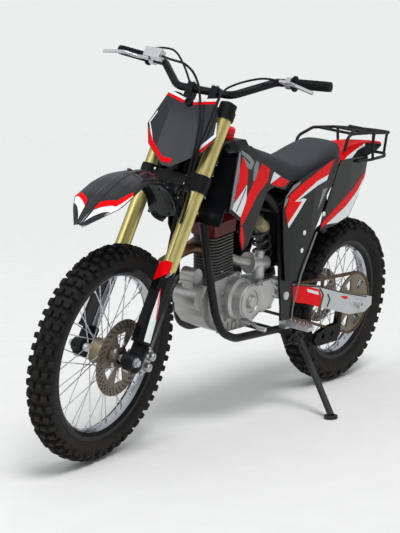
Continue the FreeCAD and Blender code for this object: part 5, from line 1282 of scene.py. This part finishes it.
class BIKE_OT_drive_chain(bpy.types.Operator):
    """Make the links and rollers of the chain"""

    bl_idname = "bike.drive_chain"
    bl_label = "Drive chain"

    def execute(self, context):
        pins = chain_pins()
        middle = (pins[:-1] + pins[1:]) / 2
        along = np.diff(pins, axis=0)
        along /= np.linalg.norm(along, axis=1, keepdims=True)
        across = np.stack([-along[:, 1], along[:, 0]], -1)
        # A link plate's outline is a waist between two round ends, as (along, across) pairs
        angle = np.linspace(0, 2 * np.pi, 20, endpoint=False)
        outline = np.stack([np.sign(np.cos(angle)) * 7.9 + np.cos(angle) * 5.6,
                            np.sin(angle) * (7.0 - 1.6 * (1 - np.abs(np.cos(angle))))], -1)
        ring = (middle[:, None] + outline[None, :, :1] * along[:, None]
                + outline[None, :, 1:] * across[:, None])
        parts = []
        for side in (1, -1):
            left = CHAIN_LEFT + side * np.where(np.arange(len(middle)) % 2, OUTER_PLATES, INNER_PLATES)
            faces = [np.broadcast_to((left + shift)[:, None], ring.shape[:2])
                     for shift in (-PLATE_THICK / 2, PLATE_THICK / 2)]
            plates = [np.stack([ring[..., 0], face, ring[..., 1]], -1) for face in faces]
            parts.append(stacked_plates(*plates))
        roller = turned([(-4, 0.5), (-4, 4.9), (4, 4.9), (4, 0.5)], 10)
        rivet = turned([(-6.4, 0.4), (-6.4, 1.9), (6.4, 1.9), (6.4, 0.4)], 8)
        spots = [pointing((0, 1, 0), (x, CHAIN_LEFT, z)) for x, z in pins[:-1]]
        parts += [repeated(roller, spots), repeated(rivet, spots)]
        piece("chain_links", joined(parts), "frame", finishes()["chain_brown"], 40, ["chain"])
        return {"FINISHED"}


# Stage: the camera's place in metres and its right, up and ahead are fitted to the photograph
BACKDROP = (236, 238, 237)
FLOOR = (220, 220, 218)
FLOOR_REACH = 40.0
FLOOR_HEIGHT = -0.0035
SUN_STRENGTH = 2.1
SUN_SPREAD = math.radians(24)
SUN_AT = (1.6, 2.4, 5.0)
FILL_STRENGTH = 45
FILL_SIZE = 3.0
FILL_AT = (4.5, -1.5, 3.0)
LENS = 85.79
CAMERA_AT = (3.61704, 2.50567, 1.09845)
CAMERA_RIGHT = Vector((-0.60420, 0.79638, -0.02690))
CAMERA_UP = Vector((-0.11465, -0.05348, 0.99197))
CAMERA_AHEAD = Vector((-0.78854, -0.60243, -0.12361))


def sky_light(tree):
    """The world lights the bike more from above: its strength grows with the height of the direction."""
    light = tree.nodes["Background"]
    light.inputs["Color"].default_value = (0.94, 0.97, 1.0, 1)
    where = added(tree, "ShaderNodeTexCoord")
    split = added(tree, "ShaderNodeSeparateXYZ")
    tree.links.new(where.outputs["Generated"], split.inputs["Vector"])
    sky = added(tree, "ShaderNodeMapRange", From_Min=0.05, From_Max=0.8, To_Min=0.13, To_Max=0.8)
    tree.links.new(split.outputs["Z"], sky.inputs["Value"])
    tree.links.new(sky.outputs["Result"], light.inputs["Strength"])
    return light


def pale_backdrop(tree, light):
    """The camera sees an even pale backdrop in place of the world's light."""
    backdrop = added(tree, "ShaderNodeBackground", Color=(*rgb(*BACKDROP), 1))
    ray = added(tree, "ShaderNodeLightPath")
    choice = added(tree, "ShaderNodeMixShader")
    tree.links.new(ray.outputs["Is Camera Ray"], choice.inputs["Fac"])
    tree.links.new(light.outputs["Background"], choice.inputs[1])
    tree.links.new(backdrop.outputs["Background"], choice.inputs[2])
    tree.links.new(choice.outputs["Shader"], tree.nodes["World Output"].inputs["Surface"])


class BIKE_OT_stage(bpy.types.Operator):
    """Make the floor, the light and the camera"""

    bl_idname = "bike.stage"
    bl_label = "Stage"

    def execute(self, context):
        scene = context.scene
        scene.view_settings.view_transform = "Standard"
        floor_mesh = bpy.data.meshes.new("floor")
        corners = [(x * FLOOR_REACH, y * FLOOR_REACH, FLOOR_HEIGHT)
                   for x, y in ((-1, -1), (1, -1), (1, 1), (-1, 1))]
        floor_mesh.from_pydata(corners, [], [(0, 1, 2, 3)])
        floor = bpy.data.objects.new("floor", floor_mesh)
        scene.collection.objects.link(floor)
        floor_mesh.materials.append(
            finish("floor_grey", rgb(*FLOOR), rough=0.9, grain=60, relief=0.05, mottle=0.02))
        world = bpy.data.worlds.new("sky")
        world.use_nodes = True
        pale_backdrop(world.node_tree, sky_light(world.node_tree))
        scene.world = world
        sun = bpy.data.lights.new("key", "SUN")
        sun.energy = SUN_STRENGTH
        sun.angle = SUN_SPREAD
        soft = bpy.data.lights.new("fill", "AREA")
        soft.energy = FILL_STRENGTH
        soft.size = FILL_SIZE
        for lamp, at in ((sun, SUN_AT), (soft, FILL_AT)):
            holder = bpy.data.objects.new(lamp.name, lamp)
            holder.location = at
            holder.rotation_euler = Vector(at).to_track_quat("Z", "Y").to_euler()
            scene.collection.objects.link(holder)
        lens = bpy.data.cameras.new("camera")
        lens.sensor_width = 36
        lens.lens = LENS
        holder = bpy.data.objects.new("camera", lens)
        turn = Matrix((CAMERA_RIGHT, CAMERA_UP, -CAMERA_AHEAD)).transposed().to_4x4()
        holder.matrix_world = Matrix.Translation(CAMERA_AT) @ turn
        scene.collection.objects.link(holder)
        scene.camera = holder
        return {"FINISHED"}


class BIKE_PT_pieces(bpy.types.Panel):
    """The bike's colours, sizes and pieces"""

    bl_idname = "BIKE_PT_pieces"
    bl_label = "Motocross bike"
    bl_space_type = "VIEW_3D"
    bl_region_type = "UI"
    bl_category = "Bike"

    def draw(self, context):
        for group in (context.scene.bike_colours, context.scene.bike_sizes):
            box = self.layout.box()
            for name in group.__annotations__:
                box.prop(group, name)
        column = self.layout.column()
        for operator in OPERATORS:
            column.operator(operator.bl_idname)


OPERATORS = [
    BIKE_OT_finish_solids, BIKE_OT_tyres, BIKE_OT_rims, BIKE_OT_hubs, BIKE_OT_saddle, BIKE_OT_front_fender,
    BIKE_OT_graphics, BIKE_OT_fork_feet, BIKE_OT_disc_details, BIKE_OT_clamp_details, BIKE_OT_engine_details,
    BIKE_OT_panel_details, BIKE_OT_plate_knob, BIKE_OT_grips, BIKE_OT_drive_chain, BIKE_OT_stage,
]
CLASSES = [BikeColours, BikeSizes, *OPERATORS, BIKE_PT_pieces]


def register():
    """Makes the groups, operators and panel known."""
    for made in CLASSES:
        bpy.utils.register_class(made)
    bpy.types.Scene.bike_colours = PointerProperty(type=BikeColours)
    bpy.types.Scene.bike_sizes = PointerProperty(type=BikeSizes)


def unregister():
    """Takes them away again."""
    del bpy.types.Scene.bike_sizes
    del bpy.types.Scene.bike_colours
    for made in reversed(CLASSES):
        bpy.utils.unregister_class(made)


def main():
    """Makes every piece in order."""
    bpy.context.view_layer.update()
    register()
    for operator in OPERATORS:
        group, name = operator.bl_idname.split(".")
        getattr(getattr(bpy.ops, group), name)()
    bpy.context.view_layer.update()


if __name__ == "__main__":
    main()
